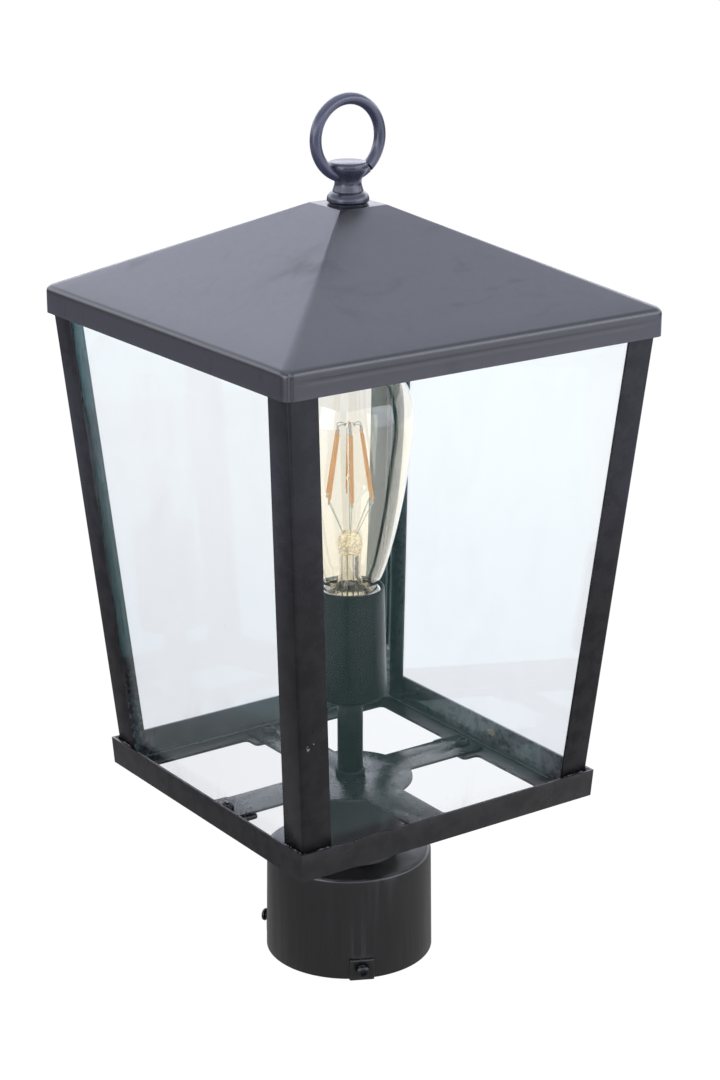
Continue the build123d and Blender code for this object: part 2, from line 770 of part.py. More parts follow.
def build():
    os.makedirs("parts", exist_ok=True)

    save(make_post_fitter(), "post_fitter")
    set_screw = make_set_screw()
    for number, turn in enumerate(set_screw_turns, start=1):
        save(Rot(0, 0, turn) * set_screw, f"set_screw_{number}")

    save(make_base_frame(), "base_frame")
    post = make_corner_post()
    pane = make_pane()
    for name, turn in zip(("front_left", "front_right", "back_right", "back_left"), sides):
        save(Rot(0, 0, turn) * post, "corner_post_" + name)
    for name, turn in zip(("front", "right", "back", "left"), sides):
        save(Rot(0, 0, turn) * pane, "glass_pane_" + name)
    top_bead_z = post_top_z - glass_top_gap - bead_length
    beads = Compound(children=[make_bead(flange_top_z), make_bead(top_bead_z)])
    save(around(beads, sides), "glass_sealant")
    save(make_top_frame(), "top_frame")

    save(make_spider_plate(), "spider_plate")
    spider_nut_z = base_z - m4_nut_height
    spider_screw = Pos(spider_screw_offset, 0, 0) * make_machine_screw(hub_top_z, spider_nut_z)
    save(around(spider_screw, sides), "spider_screws")
    save(around(Pos(spider_screw_offset, 0, 0) * make_machine_nut(spider_nut_z), sides), "spider_nuts")

    save(make_roof_bridge(), "roof_bridge")
    bridge_nut_z = post_top_z - m4_nut_height
    bridge_screw = make_machine_screw(top_frame_z + bridge_sheet, bridge_nut_z)
    save(around(Pos(bridge_screw_offset, 0, 0) * bridge_screw, (0, 180)), "bridge_screws")
    save(around(Pos(bridge_screw_offset, 0, 0) * make_machine_nut(bridge_nut_z), (0, 180)), "bridge_nuts")

    lower_nut_z = bridge_top_z - stud_nut_height
    upper_nut_z = bridge_top_z + bridge_sheet
    save(upright(stud_radius, lower_nut_z - stud_tip, stud_top_z), "roof_stud")
    save(Compound(children=[chamfered_nut(stud_nut_flats, lower_nut_z, bridge_top_z, stud_radius),
                            chamfered_nut(stud_nut_flats, upper_nut_z, upper_nut_z + stud_nut_height,
                                          stud_radius)]), "stud_lock_nuts")
    save(make_seat_nut(), "roof_seat_nut")
    save(make_roof(), "roof")

    save(tube(finial_washer_radius, stud_radius + stud_hole_clearance, roof_tip_z, neck_z), "finial_washer")
    neck = make_finial_neck()
    save(neck, "finial_neck")
    save(make_finial_ring(neck), "finial_ring")

    fitter_ceiling_z = flange_top_z - fitter_sheet
    washer_z = fitter_ceiling_z - lock_washer_sheet
    low_nut_z = washer_z - nipple_nut_height
    nipple_low_z = fitter_ceiling_z - nipple_low_end
    save(tube(nipple_radius, nipple_bore, nipple_low_z, nipple_top_z), "threaded_nipple")
    save(tube(nipple_radius + lock_washer_width, nipple_radius, washer_z, fitter_ceiling_z), "lock_washer")
    save(Compound(children=[chamfered_nut(nipple_nut_flats, low_nut_z, washer_z, nipple_radius),
                            chamfered_nut(nipple_nut_flats, cup_floor_z, socket_base_z, nipple_radius)]),
         "nipple_nuts")
    save(make_lead_bushing(nipple_low_z), "lead_bushing")
    save(tube(collar_radius, nipple_radius, hub_top_z, collar_top_z), "stem_collar")
    save(tube(stem_radius, nipple_radius, collar_top_z, stem_top_z), "stem_tube")

    save(make_socket_cup(), "socket_cup")
    save(make_socket_body(), "socket_body")
    save(make_screw_shell(), "screw_shell")
    save(make_centre_contact(), "centre_contact")
    save(make_terminal_screws(), "terminal_screws")

    save(make_bulb_glass(), "bulb_glass")
    save(make_bulb_base(), "bulb_base")
    save(make_bulb_insulator(), "bulb_insulator")
    save(make_bulb_tip(), "bulb_tip")
    save(make_bulb_mount(), "bulb_mount")
    save(make_filaments(), "filaments")
    save(make_filament_supports(), "filament_supports")


build()
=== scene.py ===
import json
import math
import random
import bpy
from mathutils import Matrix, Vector


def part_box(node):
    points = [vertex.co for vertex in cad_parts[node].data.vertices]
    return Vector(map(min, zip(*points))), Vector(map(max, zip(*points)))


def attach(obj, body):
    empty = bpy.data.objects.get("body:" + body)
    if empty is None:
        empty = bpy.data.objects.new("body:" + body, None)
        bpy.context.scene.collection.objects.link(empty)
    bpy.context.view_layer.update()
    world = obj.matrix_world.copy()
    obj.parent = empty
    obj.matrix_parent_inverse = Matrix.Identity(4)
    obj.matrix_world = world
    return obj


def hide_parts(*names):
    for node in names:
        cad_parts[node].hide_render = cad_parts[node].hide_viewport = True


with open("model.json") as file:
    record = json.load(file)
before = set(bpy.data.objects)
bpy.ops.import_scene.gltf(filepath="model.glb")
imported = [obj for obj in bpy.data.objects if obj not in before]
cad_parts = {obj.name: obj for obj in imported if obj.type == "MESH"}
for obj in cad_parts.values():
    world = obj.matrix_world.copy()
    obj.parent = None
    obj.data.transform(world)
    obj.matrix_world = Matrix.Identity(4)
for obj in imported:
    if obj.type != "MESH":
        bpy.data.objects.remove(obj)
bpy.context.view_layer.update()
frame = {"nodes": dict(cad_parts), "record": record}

print("frame loaded:", len(frame["nodes"]), "nodes")


class Wire:  # one socket that takes part in ordinary Python sums
    def __init__(self, nodes, socket):
        self.nodes = nodes
        self.socket = socket

    def sum(self, operation, a, b=None):
        feeds = {0: a} if b is None else {0: a, 1: b}
        return self.nodes.node("ShaderNodeMath", {"operation": operation}, feeds)

    def __add__(self, other): return self.sum("ADD", self, other)
    def __sub__(self, other): return self.sum("SUBTRACT", self, other)
    def __rsub__(self, other): return self.sum("SUBTRACT", other, self)
    def __mul__(self, other): return self.sum("MULTIPLY", self, other)
    def __rmul__(self, other): return self.sum("MULTIPLY", other, self)
    def __abs__(self): return self.sum("ABSOLUTE", self)
    def larger(self, other): return self.sum("MAXIMUM", self, other)
    def smaller(self, other): return self.sum("MINIMUM", self, other)

    def ramp(self, low, high, start=0.0, end=1.0):  # a smooth step from start to end
        settings = {"interpolation_type": "SMOOTHSTEP", "clamp": True}
        return self.nodes.node("ShaderNodeMapRange", settings, {0: self, 1: low, 2: high, 3: start, 4: end})


class Nodes:  # the node tree of a material, the world or a lamp
    def __init__(self, tree):
        self.tree = tree

    def node(self, kind, settings=None, feeds=None, out=0):
        made = self.tree.nodes.new(kind)
        for key, value in (settings or {}).items():
            setattr(made, key, value)
        for key, value in (feeds or {}).items():
            self.plug(made.inputs[key], value)
        return Wire(self, made.outputs[out])

    def plug(self, socket, value):  # colours are given without their alpha
        if isinstance(value, Wire):
            self.tree.links.new(value.socket, socket)
        else:
            socket.default_value = (*value, 1) if socket.type == "RGBA" else value

    def ray(self, output):  # what Light Path tells of the ray
        return self.node("ShaderNodeLightPath", out=output)

    def blend(self, mask, low, high):  # colour mix
        return self.node("ShaderNodeMix", {"data_type": "RGBA"}, {"Factor": mask, 6: low, 7: high}, out=2)


class Finish(Nodes):  # a material
    def __init__(self, name, fixed):
        self.material = bpy.data.materials.new(name)
        self.material.use_nodes = True
        super().__init__(self.material.node_tree)
        self.tree.nodes.clear()
        self.end = self.tree.nodes.new("ShaderNodeOutputMaterial")
        self.surface = self.layer(fixed)
        self.tree.links.new(self.surface.outputs[0], self.end.inputs["Surface"])
        self.place = self.node("ShaderNodeTexCoord", out="Object")

    def layer(self, fixed):  # a Principled surface with its constants
        made = self.tree.nodes.new("ShaderNodeBsdfPrincipled")
        for socketName, value in fixed.items():
            self.plug(made.inputs[socketName], value)
        return made

    def glow(self, strength, colour=(1, 1, 1)):  # an emission to cover a surface with
        made = self.tree.nodes.new("ShaderNodeEmission")
        made.inputs["Strength"].default_value = strength
        self.plug(made.inputs["Color"], colour)
        return made

    def feed(self, surface=None, **sockets):  # Base_Color=..., Roughness=...
        for key, value in sockets.items():
            self.plug((surface or self.surface).inputs[key.replace("_", " ")], value)

    def noise(self, scale, detail=2.0, rough=0.5, warp=0.0, place=None):
        feeds = {"Vector": place or self.place, "Scale": scale, "Detail": detail, "Roughness": rough,
                 "Distortion": warp}
        return self.node("ShaderNodeTexNoise", {}, feeds, out="Fac")

    def cells(self, scale):  # distance to the nearest of scattered points
        return self.node("ShaderNodeTexVoronoi", {}, {"Vector": self.place, "Scale": scale}, out="Distance")

    def drawn(self, x, y, z):  # object coordinates stretched along an axis, for brushed and run marks
        return self.node("ShaderNodeMapping", {}, {"Vector": self.place, "Scale": (x, y, z)}, out="Vector")

    def along(self, letter):  # metres along X, Y or Z
        return self.node("ShaderNodeSeparateXYZ", {}, {0: self.place}, out=letter)

    def facing(self, letter):  # how much the surface faces along X, Y or Z
        normal = self.node("ShaderNodeNewGeometry", out="Normal")
        return self.node("ShaderNodeSeparateXYZ", {}, {0: normal}, out=letter)

    def edges(self):  # 1 on convex edges
        return self.node("ShaderNodeNewGeometry", out="Pointiness").ramp(0.52, 0.60)

    def near(self, point, x=1.0, y=1.0, z=1.0):  # millimetres from a point, each axis weighted
        low = self.node("ShaderNodeVectorMath", {"operation": "SUBTRACT"},
                        {0: self.place, 1: tuple(value / 1000 for value in point)}, out="Vector")
        wide = self.node("ShaderNodeVectorMath", {"operation": "MULTIPLY"},
                         {0: low, 1: (1000 * x, 1000 * y, 1000 * z)}, out="Vector")
        return self.node("ShaderNodeVectorMath", {"operation": "LENGTH"}, {0: wide}, out="Value")

    def bump(self, height, depth, under=None):  # depth in millimetres
        feeds = {"Height": height, "Distance": depth / 1000, "Strength": 1.0}
        if under:
            feeds["Normal"] = under
        return self.node("ShaderNodeBump", {}, feeds, out="Normal")

    def cover(self, mask, top):  # lays another surface over this one where the mask is 1
        mixer = self.tree.nodes.new("ShaderNodeMixShader")
        below = self.end.inputs["Surface"].links[0].from_socket
        self.plug(mixer.inputs[0], mask)
        self.tree.links.new(below, mixer.inputs[1])
        self.tree.links.new(top.outputs[0], mixer.inputs[2])
        self.tree.links.new(mixer.outputs[0], self.end.inputs["Surface"])


# satin black powder coat on all sheet metal
coatLook = {"tone": (0.0105, 0.0105, 0.012), "toneLight": (0.016, 0.016, 0.018), "roughLow": 0.26,
            "roughHigh": 0.34, "specular": 0.35, "peel": 0.004, "peelScale": 900, "wave": 0.05,
            "waveScale": 22, "dust": 0.05, "worn": 0.25}


def powderCoat(name, **changes):
    look = {**coatLook, **changes}
    finish = Finish(name, {"Specular IOR Level": look["specular"]})
    patches = finish.noise(18, 3, 0.55, 0.3)
    fine = finish.noise(320, 3, 0.6)
    settled = (finish.noise(70, 4, 0.65) * finish.facing("Z").ramp(0.3, 1.0)).ramp(0.35, 0.7)
    grains = finish.cells(1500).ramp(0.0, 0.18, 1.0, 0.0) * finish.noise(40, 2, 0.5).ramp(0.55, 0.7)
    rubbed = finish.edges() * finish.noise(120, 3, 0.6).ramp(0.4, 0.6)
    tone = finish.blend(patches.ramp(0.3, 0.7), look["tone"], look["toneLight"])
    tone = finish.blend(rubbed * look["worn"], tone, (0.09, 0.09, 0.095))
    dust = (settled * look["dust"]).larger(grains * look["dust"])
    finish.feed(Base_Color=finish.blend(dust, tone, (0.42, 0.41, 0.40)))
    spread = patches * 0.5 + fine * 0.5
    finish.feed(Roughness=spread.ramp(0.3, 0.7, look["roughLow"], look["roughHigh"]) + dust)
    peel = finish.bump(finish.noise(look["peelScale"], 1, 0.4), look["peel"])
    finish.feed(Normal=finish.bump(finish.noise(look["waveScale"], 1, 0.3, 0.2), look["wave"], peel))
    return finish


def roofCoat():
    finish = powderCoat("coatRoof", peel=0.003, wave=0.10, waveScale=11, dust=0.03, specular=1.0)
    smudge = finish.near((-52, -38, 346), 0.6, 1.0, 1.0).ramp(3, 22, 1.0, 0.0)
    smudge *= finish.noise(55, 4, 0.6).ramp(0.4, 0.65)
    scuff = finish.noise(26, 4, 0.6, 1.2, finish.drawn(1, 2.5, 1)).ramp(0.55, 0.75)
    marks = finish.layer({"Base Color": (0.012, 0.012, 0.013), "Roughness": 0.55,
                          "Specular IOR Level": 0.35})
    finish.cover((smudge * 0.35).larger(scuff * 0.18), marks)
    return finish


def postCoat():  # with a paint chip on the near post, and a painted lilac reflection on the back-left post's flange
    finish = powderCoat("coatPost", specular=0.32)
    chipShape = finish.near((-80.4, -84.6, 150.4), 1.0, 1.0, 0.8) + finish.noise(1200, 2, 0.7) * 1.7
    speck = finish.near((-77.6, -84.8, 152.0)) + finish.noise(1500, 1, 0.5) * 0.6
    chip = chipShape.ramp(1.75, 2.0, 1.0, 0.0).larger(speck.ramp(0.6, 0.8, 1.0, 0.0))
    bare = finish.layer({"Base Color": (0.50, 0.49, 0.48), "Roughness": 0.6})
    finish.cover(chip * finish.noise(1100, 2, 0.6).ramp(0.42, 0.54), bare)
    # painted reflection: the back-left post's front-facing flange gets a lilac film in streaks that grow
    # lighter towards the top; the specks settled at its foot are real dust
    backLeft = finish.along("Y").ramp(0.06, 0.066) * finish.along("X").ramp(-0.060, -0.066)
    flange = finish.facing("Y").ramp(-0.85, -0.95) * backLeft
    height = finish.along("Z")
    sheenStreaks = finish.noise(260, 4, 0.7, 0.6, finish.drawn(1, 1, 0.08)).ramp(0.38, 0.62)
    settled = finish.noise(420, 4, 0.7).ramp(0.42, 0.62) * height.ramp(0.10, 0.17, 1.0, 0.0)
    sheenAndDust = flange * (sheenStreaks * height.ramp(0.16, 0.31, 0.25, 0.75)).larger(settled * 0.7)
    sheenAndDustFilm = finish.layer({"Base Color": (0.30, 0.27, 0.32), "Roughness": 0.5})
    finish.cover(sheenAndDust, sheenAndDustFilm)
    return finish


def baseCoat():  # dust lies inside the upstand
    finish = powderCoat("coatBase", specular=0.6, wave=0.025, peel=0.0015, tone=(0.0125, 0.0115, 0.012))
    inside = (finish.facing("X").ramp(-0.9, -0.97)
              * finish.near((80, -20, 94), 0.5, 0.35, 1.0).ramp(12, 26, 1.0, 0.0))
    dusty = inside * finish.noise(160, 5, 0.7, 0.5).ramp(0.35, 0.6) * 0.85
    corner = (finish.facing("Y").ramp(-0.9, -0.97)
              * finish.near((-74, 81, 94), 0.8, 0.5, 1.0).ramp(10, 15, 1.0, 0.0))
    dusty = dusty.larger(corner * finish.noise(220, 5, 0.7, 0.5).ramp(0.35, 0.65) * 0.6)
    powder = finish.layer({"Base Color": (0.42, 0.37, 0.41), "Roughness": 0.9})
    finish.cover(dusty, powder)
    patch = finish.near((80.2, -7, 94), 0.4, 0.8, 1.6) + finish.noise(500, 2, 0.6) * 2.0
    patch = patch.ramp(3.4, 3.9, 1.0, 0.0)
    tan = finish.layer({"Base Color": (0.80, 0.63, 0.44), "Roughness": 0.8})
    finish.cover(patch * finish.facing("X").ramp(-0.9, -0.97), tan)
    return finish


def hubCoat():
    return powderCoat("coatHub", specular=1.0, dust=0.08, peel=0.001, wave=0.012, roughLow=0.20,
                      roughHigh=0.26, tone=(0.018, 0.022, 0.026), toneLight=(0.028, 0.034, 0.040))


def fitterCoat():
    return powderCoat("coatFitter", roughLow=0.28, roughHigh=0.36, specular=0.75,
                      tone=(0.010, 0.010, 0.0105), toneLight=(0.014, 0.014, 0.0145), wave=0.015, peel=0.002)


def cupCoat():
    return powderCoat("coatCup", roughLow=0.30, roughHigh=0.36, specular=0.2, dust=0.02, peel=0.0008,
                      wave=0.02, tone=(0.008, 0.008, 0.0085), toneLight=(0.012, 0.012, 0.0125))


# painted sheen: the finial and ring keep the body's black coat, and their lighter bluish-violet tones stand
# in for the sky they mirror
def finialCoatPaintedSheen(name, tone, toneLight, coat):
    finish = powderCoat(name, roughLow=0.24, roughHigh=0.34, specular=0.75, peel=0.002, wave=0.02,
                        tone=tone, toneLight=toneLight, worn=0.15)
    finish.surface.inputs["Coat Weight"].default_value = coat
    finish.surface.inputs["Coat Roughness"].default_value = 0.25
    return finish


# float glass: faintly blue, a green cast in what it mirrors, a film of dust towards its lower edge
paneLook = {"tint": (0.955, 0.985, 1.0), "tintLow": (0.905, 0.94, 0.965), "cast": (0.16, 0.50, 0.48),
            "film": 0.015, "speck": 0.6}


def paneGlass():
    look = paneLook
    finish = Finish("glassPane", {"Transmission Weight": 1.0, "IOR": 1.5, "Roughness": 0.0,
                                  "Specular Tint": look["cast"]})
    height = finish.along("Z")
    finish.feed(Base_Color=finish.blend(height.ramp(0.09, 0.30), look["tintLow"], look["tint"]))
    haze = finish.noise(38, 4, 0.6, 0.8, finish.drawn(1, 1, 0.5)).ramp(0.45, 0.8)
    low = height.ramp(0.088, 0.112, 1.0, 0.0)
    specks = finish.cells(420).ramp(0.05, 0.16, 1.0, 0.0) * finish.noise(90, 3, 0.6).ramp(0.45, 0.6)
    strays = finish.cells(60).ramp(0.012, 0.02, 1.0, 0.0)
    film = haze * look["film"] + low * haze * 0.16
    dust = film.larger(specks * low * look["speck"]).larger(strays * 0.35)
    powder = finish.layer({"Base Color": (0.62, 0.64, 0.68), "Roughness": 0.9})
    finish.cover(dust, powder)
    return finish


def groundEdge():  # the panes' ground and faintly green edges
    finish = Finish("glassEdge", {"Transmission Weight": 0.6, "IOR": 1.5, "Specular IOR Level": 0.5})
    grind = finish.noise(500, 3, 0.6, 0.0, finish.drawn(1, 1, 0.15))
    finish.feed(Base_Color=finish.blend(grind, (0.42, 0.62, 0.60), (0.66, 0.80, 0.80)))
    finish.feed(Roughness=grind.ramp(0.3, 0.7, 0.25, 0.5), Normal=finish.bump(grind, 0.03))
    return finish


def amberGlass():  # amber lustre, thicker towards the neck
    finish = Finish("glassAmber",
                    {"Transmission Weight": 1.0, "IOR": 1.48, "Roughness": 0.0, "Coat Weight": 0.6,
                     "Coat IOR": 1.5, "Coat Roughness": 0.01})
    height = finish.along("Z")
    tint = finish.blend(height.ramp(0.245, 0.29), (0.99, 0.935, 0.83), (1.0, 0.985, 0.965))
    tint = finish.blend(height.ramp(0.190, 0.235, 1.0, 0.0), tint, (0.99, 0.915, 0.775))
    streak = finish.noise(60, 3, 0.6, 0.6, finish.drawn(1, 1, 0.12)).ramp(0.4, 0.75)
    finish.feed(Base_Color=finish.blend(streak * 0.3, tint, (0.975, 0.905, 0.77)))
    finish.feed(Normal=finish.bump(finish.noise(45, 1, 0.3, 0.4, finish.drawn(1, 1, 0.4)), 0.03))
    return finish


def clearGlass():  # the press of the bulb's foot is crumpled and milky, with a painted glow
    finish = Finish("glassClear", {"Transmission Weight": 1.0, "IOR": 1.5})
    cord = finish.noise(260, 2, 0.5, 0.5, finish.drawn(1, 1, 0.3))
    finish.feed(Base_Color=finish.blend(cord, (0.93, 0.94, 0.91), (0.98, 0.98, 0.95)))
    finish.feed(Roughness=cord.ramp(0.3, 0.7, 0.0, 0.06), Normal=finish.bump(cord, 0.05))
    pressed = abs(finish.along("Z") - 0.2078).ramp(0.0035, 0.0046, 1.0, 0.0)
    # painted glow: the milky press emits its own cream colour though it is no lamp
    milkyGlow = finish.layer({"Roughness": 0.15, "Emission Strength": 0.5})
    folds = finish.noise(420, 3, 0.6, 1.5)
    cream = finish.blend(folds.ramp(0.38, 0.6), (0.50, 0.42, 0.26), (1.0, 0.95, 0.78))
    finish.feed(milkyGlow, Base_Color=cream, Emission_Color=cream)
    finish.cover(pressed * folds.ramp(0.38, 0.46), milkyGlow)
    return finish


metalLook = {
    "zincPlate": {"low": (0.46, 0.47, 0.47), "high": (0.68, 0.69, 0.68), "rough": (0.28, 0.45)},
    "darkSteel": {"low": (0.035, 0.035, 0.038), "high": (0.075, 0.075, 0.08), "rough": (0.3, 0.45)},
    "nickelShell": {"low": (0.72, 0.72, 0.70), "high": (0.86, 0.86, 0.84), "rough": (0.12, 0.26)},
    "brassContact": {"low": (0.62, 0.46, 0.20), "high": (0.80, 0.63, 0.32), "rough": (0.18, 0.34)},
    "drawnWire": {"low": (0.40, 0.40, 0.38), "high": (0.62, 0.62, 0.60), "rough": (0.22, 0.36)},
}


def bareMetal(name):
    look = metalLook[name]
    finish = Finish(name, {"Metallic": 1.0})
    mottle = finish.noise(90, 3, 0.6)
    brushed = finish.noise(900, 2, 0.6, 0.0, finish.drawn(1, 1, 0.08))
    stain = finish.noise(35, 4, 0.65).ramp(0.62, 0.78)
    tone = finish.blend(mottle, look["low"], look["high"])
    finish.feed(Base_Color=finish.blend(stain * 0.3, tone, tuple(0.5 * value for value in look["low"])))
    finish.feed(Roughness=(mottle * 0.5 + brushed * 0.5).ramp(0.3, 0.7, *look["rough"]) + stain * 0.15)
    finish.feed(Normal=finish.bump(brushed, 0.006))
    return finish


def mouldedPhenolic():
    finish = Finish("phenolic", {"Specular IOR Level": 0.5})
    filler = finish.noise(700, 4, 0.7)
    flow = finish.noise(45, 2, 0.5, 0.6)
    finish.feed(Base_Color=finish.blend(filler.ramp(0.35, 0.75), (0.018, 0.015, 0.013),
                                        (0.040, 0.035, 0.030)))
    finish.feed(Roughness=flow.ramp(0.3, 0.7, 0.35, 0.5), Normal=finish.bump(filler, 0.01))
    return finish


def blackGlassSeal():
    finish = Finish("blackGlass", {"Specular IOR Level": 0.6, "Coat Weight": 0.3, "Coat Roughness": 0.05})
    swirl = finish.noise(160, 3, 0.5, 1.0)
    finish.feed(Base_Color=finish.blend(swirl, (0.010, 0.010, 0.014), (0.030, 0.028, 0.032)))
    finish.feed(Roughness=swirl.ramp(0.3, 0.7, 0.06, 0.16), Normal=finish.bump(swirl, 0.04))
    return finish


def filamentCoatingPaintedGlow():  # amber silicone over a row of tiny chips, with a painted glow
    finish = Finish("filamentCoat",
                    {"Specular IOR Level": 0.5, "Subsurface Weight": 0.25, "Subsurface Scale": 0.001,
                     "Emission Strength": 0.35})
    beads = finish.cells(1100)
    grain = finish.noise(600, 3, 0.6)
    tone = finish.blend(beads.ramp(0.1, 0.5), (0.90, 0.43, 0.04), (0.82, 0.35, 0.022))
    tone = finish.blend(grain.ramp(0.3, 0.7) * 0.4, tone, (0.95, 0.50, 0.10))
    # painted glow: the filament emits its own amber colour
    finish.feed(Base_Color=tone, Emission_Color=tone)
    finish.feed(Roughness=grain.ramp(0.3, 0.7, 0.32, 0.45), Normal=finish.bump(beads, 0.05))
    return finish


def clearSilicone():
    finish = Finish("silicone", {"Transmission Weight": 0.75, "IOR": 1.41})
    cloud = finish.noise(240, 3, 0.6)
    finish.feed(Base_Color=finish.blend(cloud, (0.60, 0.70, 0.74), (0.84, 0.88, 0.90)))
    finish.feed(Roughness=cloud.ramp(0.3, 0.7, 0.15, 0.35), Normal=finish.bump(cloud, 0.15))
    return finish


def weldPaint():  # paint lies thick and glossy over the rough weld
    finish = Finish("weldPaint", {"Specular IOR Level": 0.5, "Coat Weight": 0.4, "Coat Roughness": 0.1})
    lumps = finish.noise(700, 3, 0.6)
    finish.feed(Base_Color=finish.blend(lumps, (0.006, 0.006, 0.007), (0.016, 0.016, 0.018)))
    finish.feed(Roughness=lumps.ramp(0.3, 0.7, 0.12, 0.3), Normal=finish.bump(lumps, 0.12))
    return finish


coats = {"roof": roofCoat().material, "post": postCoat().material, "base": baseCoat().material,
         "hub": hubCoat().material, "fitter": fitterCoat().material, "cup": cupCoat().material,
         # painted sheen: a lighter bluish-violet tone on the finial, lighter still on the ring
         "finial": finialCoatPaintedSheen("coatFinialPaintedSheen", (0.040, 0.043, 0.076), (0.054, 0.058, 0.100), 0.15).material,
         "ring": finialCoatPaintedSheen("coatRingPaintedSheen", (0.062, 0.068, 0.125), (0.082, 0.090, 0.160), 0.4).material,
         "weld": weldPaint().material}
glassPane, glassEdge = paneGlass().material, groundEdge().material
glassAmber, glassClear = amberGlass().material, clearGlass().material
metals = {name: bareMetal(name).material for name in metalLook}
silicone = clearSilicone().material
filamentCoat = filamentCoatingPaintedGlow().material
slotFinish = {"black_metal": coats["post"], "pane_glass": glassPane, "sealant": silicone,
              "zinc_steel": metals["zincPlate"], "screw_steel": metals["darkSteel"],
              "phenolic": mouldedPhenolic().material, "shell_metal": metals["nickelShell"],
              "contact_brass": metals["brassContact"], "amber_glass": glassAmber, "clear_glass": glassClear,
              "black_glass": blackGlassSeal().material, "filament_coat": filamentCoat,
              "wire": metals["drawnWire"]}
nodeSlot = {part["node"]: part["material_slot"] for part in frame["record"]["subparts"]}
for name, node in frame["nodes"].items():
    node.data.materials.clear()
    node.data.materials.append(slotFinish[nodeSlot[name]])
frame["nodes"]["roof"].data.materials[0] = coats["roof"]
frame["nodes"]["post_fitter"].data.materials[0] = coats["fitter"]
frame["nodes"]["finial_washer"].data.materials[0] = coats["finial"]
print("finishes set")


# modelling helpers: sizes are given in millimetres
def closed():
    if bpy.context.mode != "OBJECT":
        bpy.ops.object.mode_set(mode="OBJECT")


def pick(*pieces):
    closed()
    bpy.ops.object.select_all(action="DESELECT")
    for piece in pieces:
        piece.select_set(True)
    bpy.context.view_layer.objects.active = pieces[0]


def opened(piece):  # into edit mode with everything selected
    pick(piece)
    bpy.ops.object.mode_set(mode="EDIT")
    bpy.ops.mesh.select_mode(type="VERT")
    bpy.ops.mesh.select_all(action="SELECT")


def choose(piece, kind, test):  # leaves edit mode open with what passes the test selected
    opened(piece)
    bpy.ops.mesh.select_mode(type={"vertices": "VERT", "edges": "EDGE", "polygons": "FACE"}[kind])
    bpy.ops.mesh.select_all(action="DESELECT")
    closed()
    for item in getattr(piece.data, kind):
        item.select = bool(test(item))
    bpy.ops.object.mode_set(mode="EDIT")


def spot(piece, index):  # a vertex's place in millimetres
    return piece.data.vertices[index].co * 1000


def shift(x, y, z):  # moves what is selected in edit mode
    bpy.ops.transform.translate(value=(x / 1000, y / 1000, z / 1000))


def swing(degrees, axis):  # turns it about the origin
    bpy.ops.transform.rotate(value=math.radians(degrees), orient_axis=axis, center_override=(0, 0, 0))


def stretch(x, y, z):
    bpy.ops.transform.resize(value=(x, y, z), center_override=(0, 0, 0))


def added(name, primitive, **settings):  # a new primitive, and nothing else selected
    bpy.ops.object.select_all(action="DESELECT")
    primitive(**settings)
    piece = bpy.context.object
    piece.name = piece.data.name = name
    return piece


def drop(*pieces):
    for piece in pieces:
        bpy.data.objects.remove(piece)


def modify(piece, kind, **settings):
    modifier = piece.modifiers.new(kind, kind)
    for key, value in settings.items():
        setattr(modifier, key, value)
    pick(piece)
    bpy.ops.object.modifier_apply(modifier=modifier.name)


def cut(piece, tool):
    modify(piece, "BOOLEAN", operation="DIFFERENCE", object=tool, solver="EXACT")
    drop(tool)


def drill(piece, radius, depth, height, corners=48):  # a hole along the axis
    cut(piece, added("drillBit", bpy.ops.mesh.primitive_cylinder_add, vertices=corners,
                     radius=radius / 1000, depth=depth / 1000, location=(0, 0, height / 1000)))


def soften(piece, width, segments=2, angle=28):  # rounds every sharp edge
    modify(piece, "BEVEL", width=width / 1000, segments=segments, limit_method="ANGLE",
           angle_limit=math.radians(angle), use_clamp_overlap=True)


def roughen(piece, grain, depth):  # uneven surface, from a cloud pattern
    cloud = bpy.data.textures.new(piece.name + "Cloud", "CLOUDS")
    cloud.noise_scale = grain / 1000
    modify(piece, "DISPLACE", texture=cloud, strength=depth / 1000, mid_level=0.5, direction="NORMAL",
           texture_coords="LOCAL")


def tidy(piece, merge=0.001):
    opened(piece)
    bpy.ops.mesh.remove_doubles(threshold=merge / 1000)
    bpy.ops.mesh.normals_make_consistent(inside=False)
    closed()


def path(name, points):  # a line of edges through points in space, in edit mode
    piece = added(name, bpy.ops.mesh.primitive_plane_add, size=0.001, location=(0, 0, 0))
    opened(piece)
    bpy.ops.mesh.merge(type="CENTER")
    shift(*points[0])
    for before, after in zip(points, points[1:]):
        step = tuple((end - start) / 1000 for start, end in zip(before, after))
        bpy.ops.mesh.extrude_region_move(TRANSFORM_OT_translate={"value": step})
    return piece


def outline(name, points):  # the same on the XZ plane
    return path(name, [(x, 0, z) for x, z in points])


def turned(name, points, steps=96):  # spins an outline round the lantern's axis
    piece = outline(name, points)
    bpy.ops.mesh.select_all(action="SELECT")
    bpy.ops.mesh.spin(steps=steps, angle=2 * math.pi, center=(0, 0, 0), axis=(0, 0, 1))
    closed()
    tidy(piece)
    return piece


def curved(points, cuts=4):  # a smooth line through the points
    line = []
    ends = [points[0]] + list(points) + [points[-1]]
    for a, b, c, d in zip(ends, ends[1:], ends[2:], ends[3:]):
        for step in range(cuts):
            t = step / cuts
            line.append(tuple(0.5 * (2 * b[i] + (c[i] - a[i]) * t + (2 * a[i] - 5 * b[i] + 4 * c[i] - d[i])
                                     * t * t + (3 * b[i] - a[i] - 3 * c[i] + d[i]) * t ** 3)
                              for i in range(len(b))))
    return line + [points[-1]]


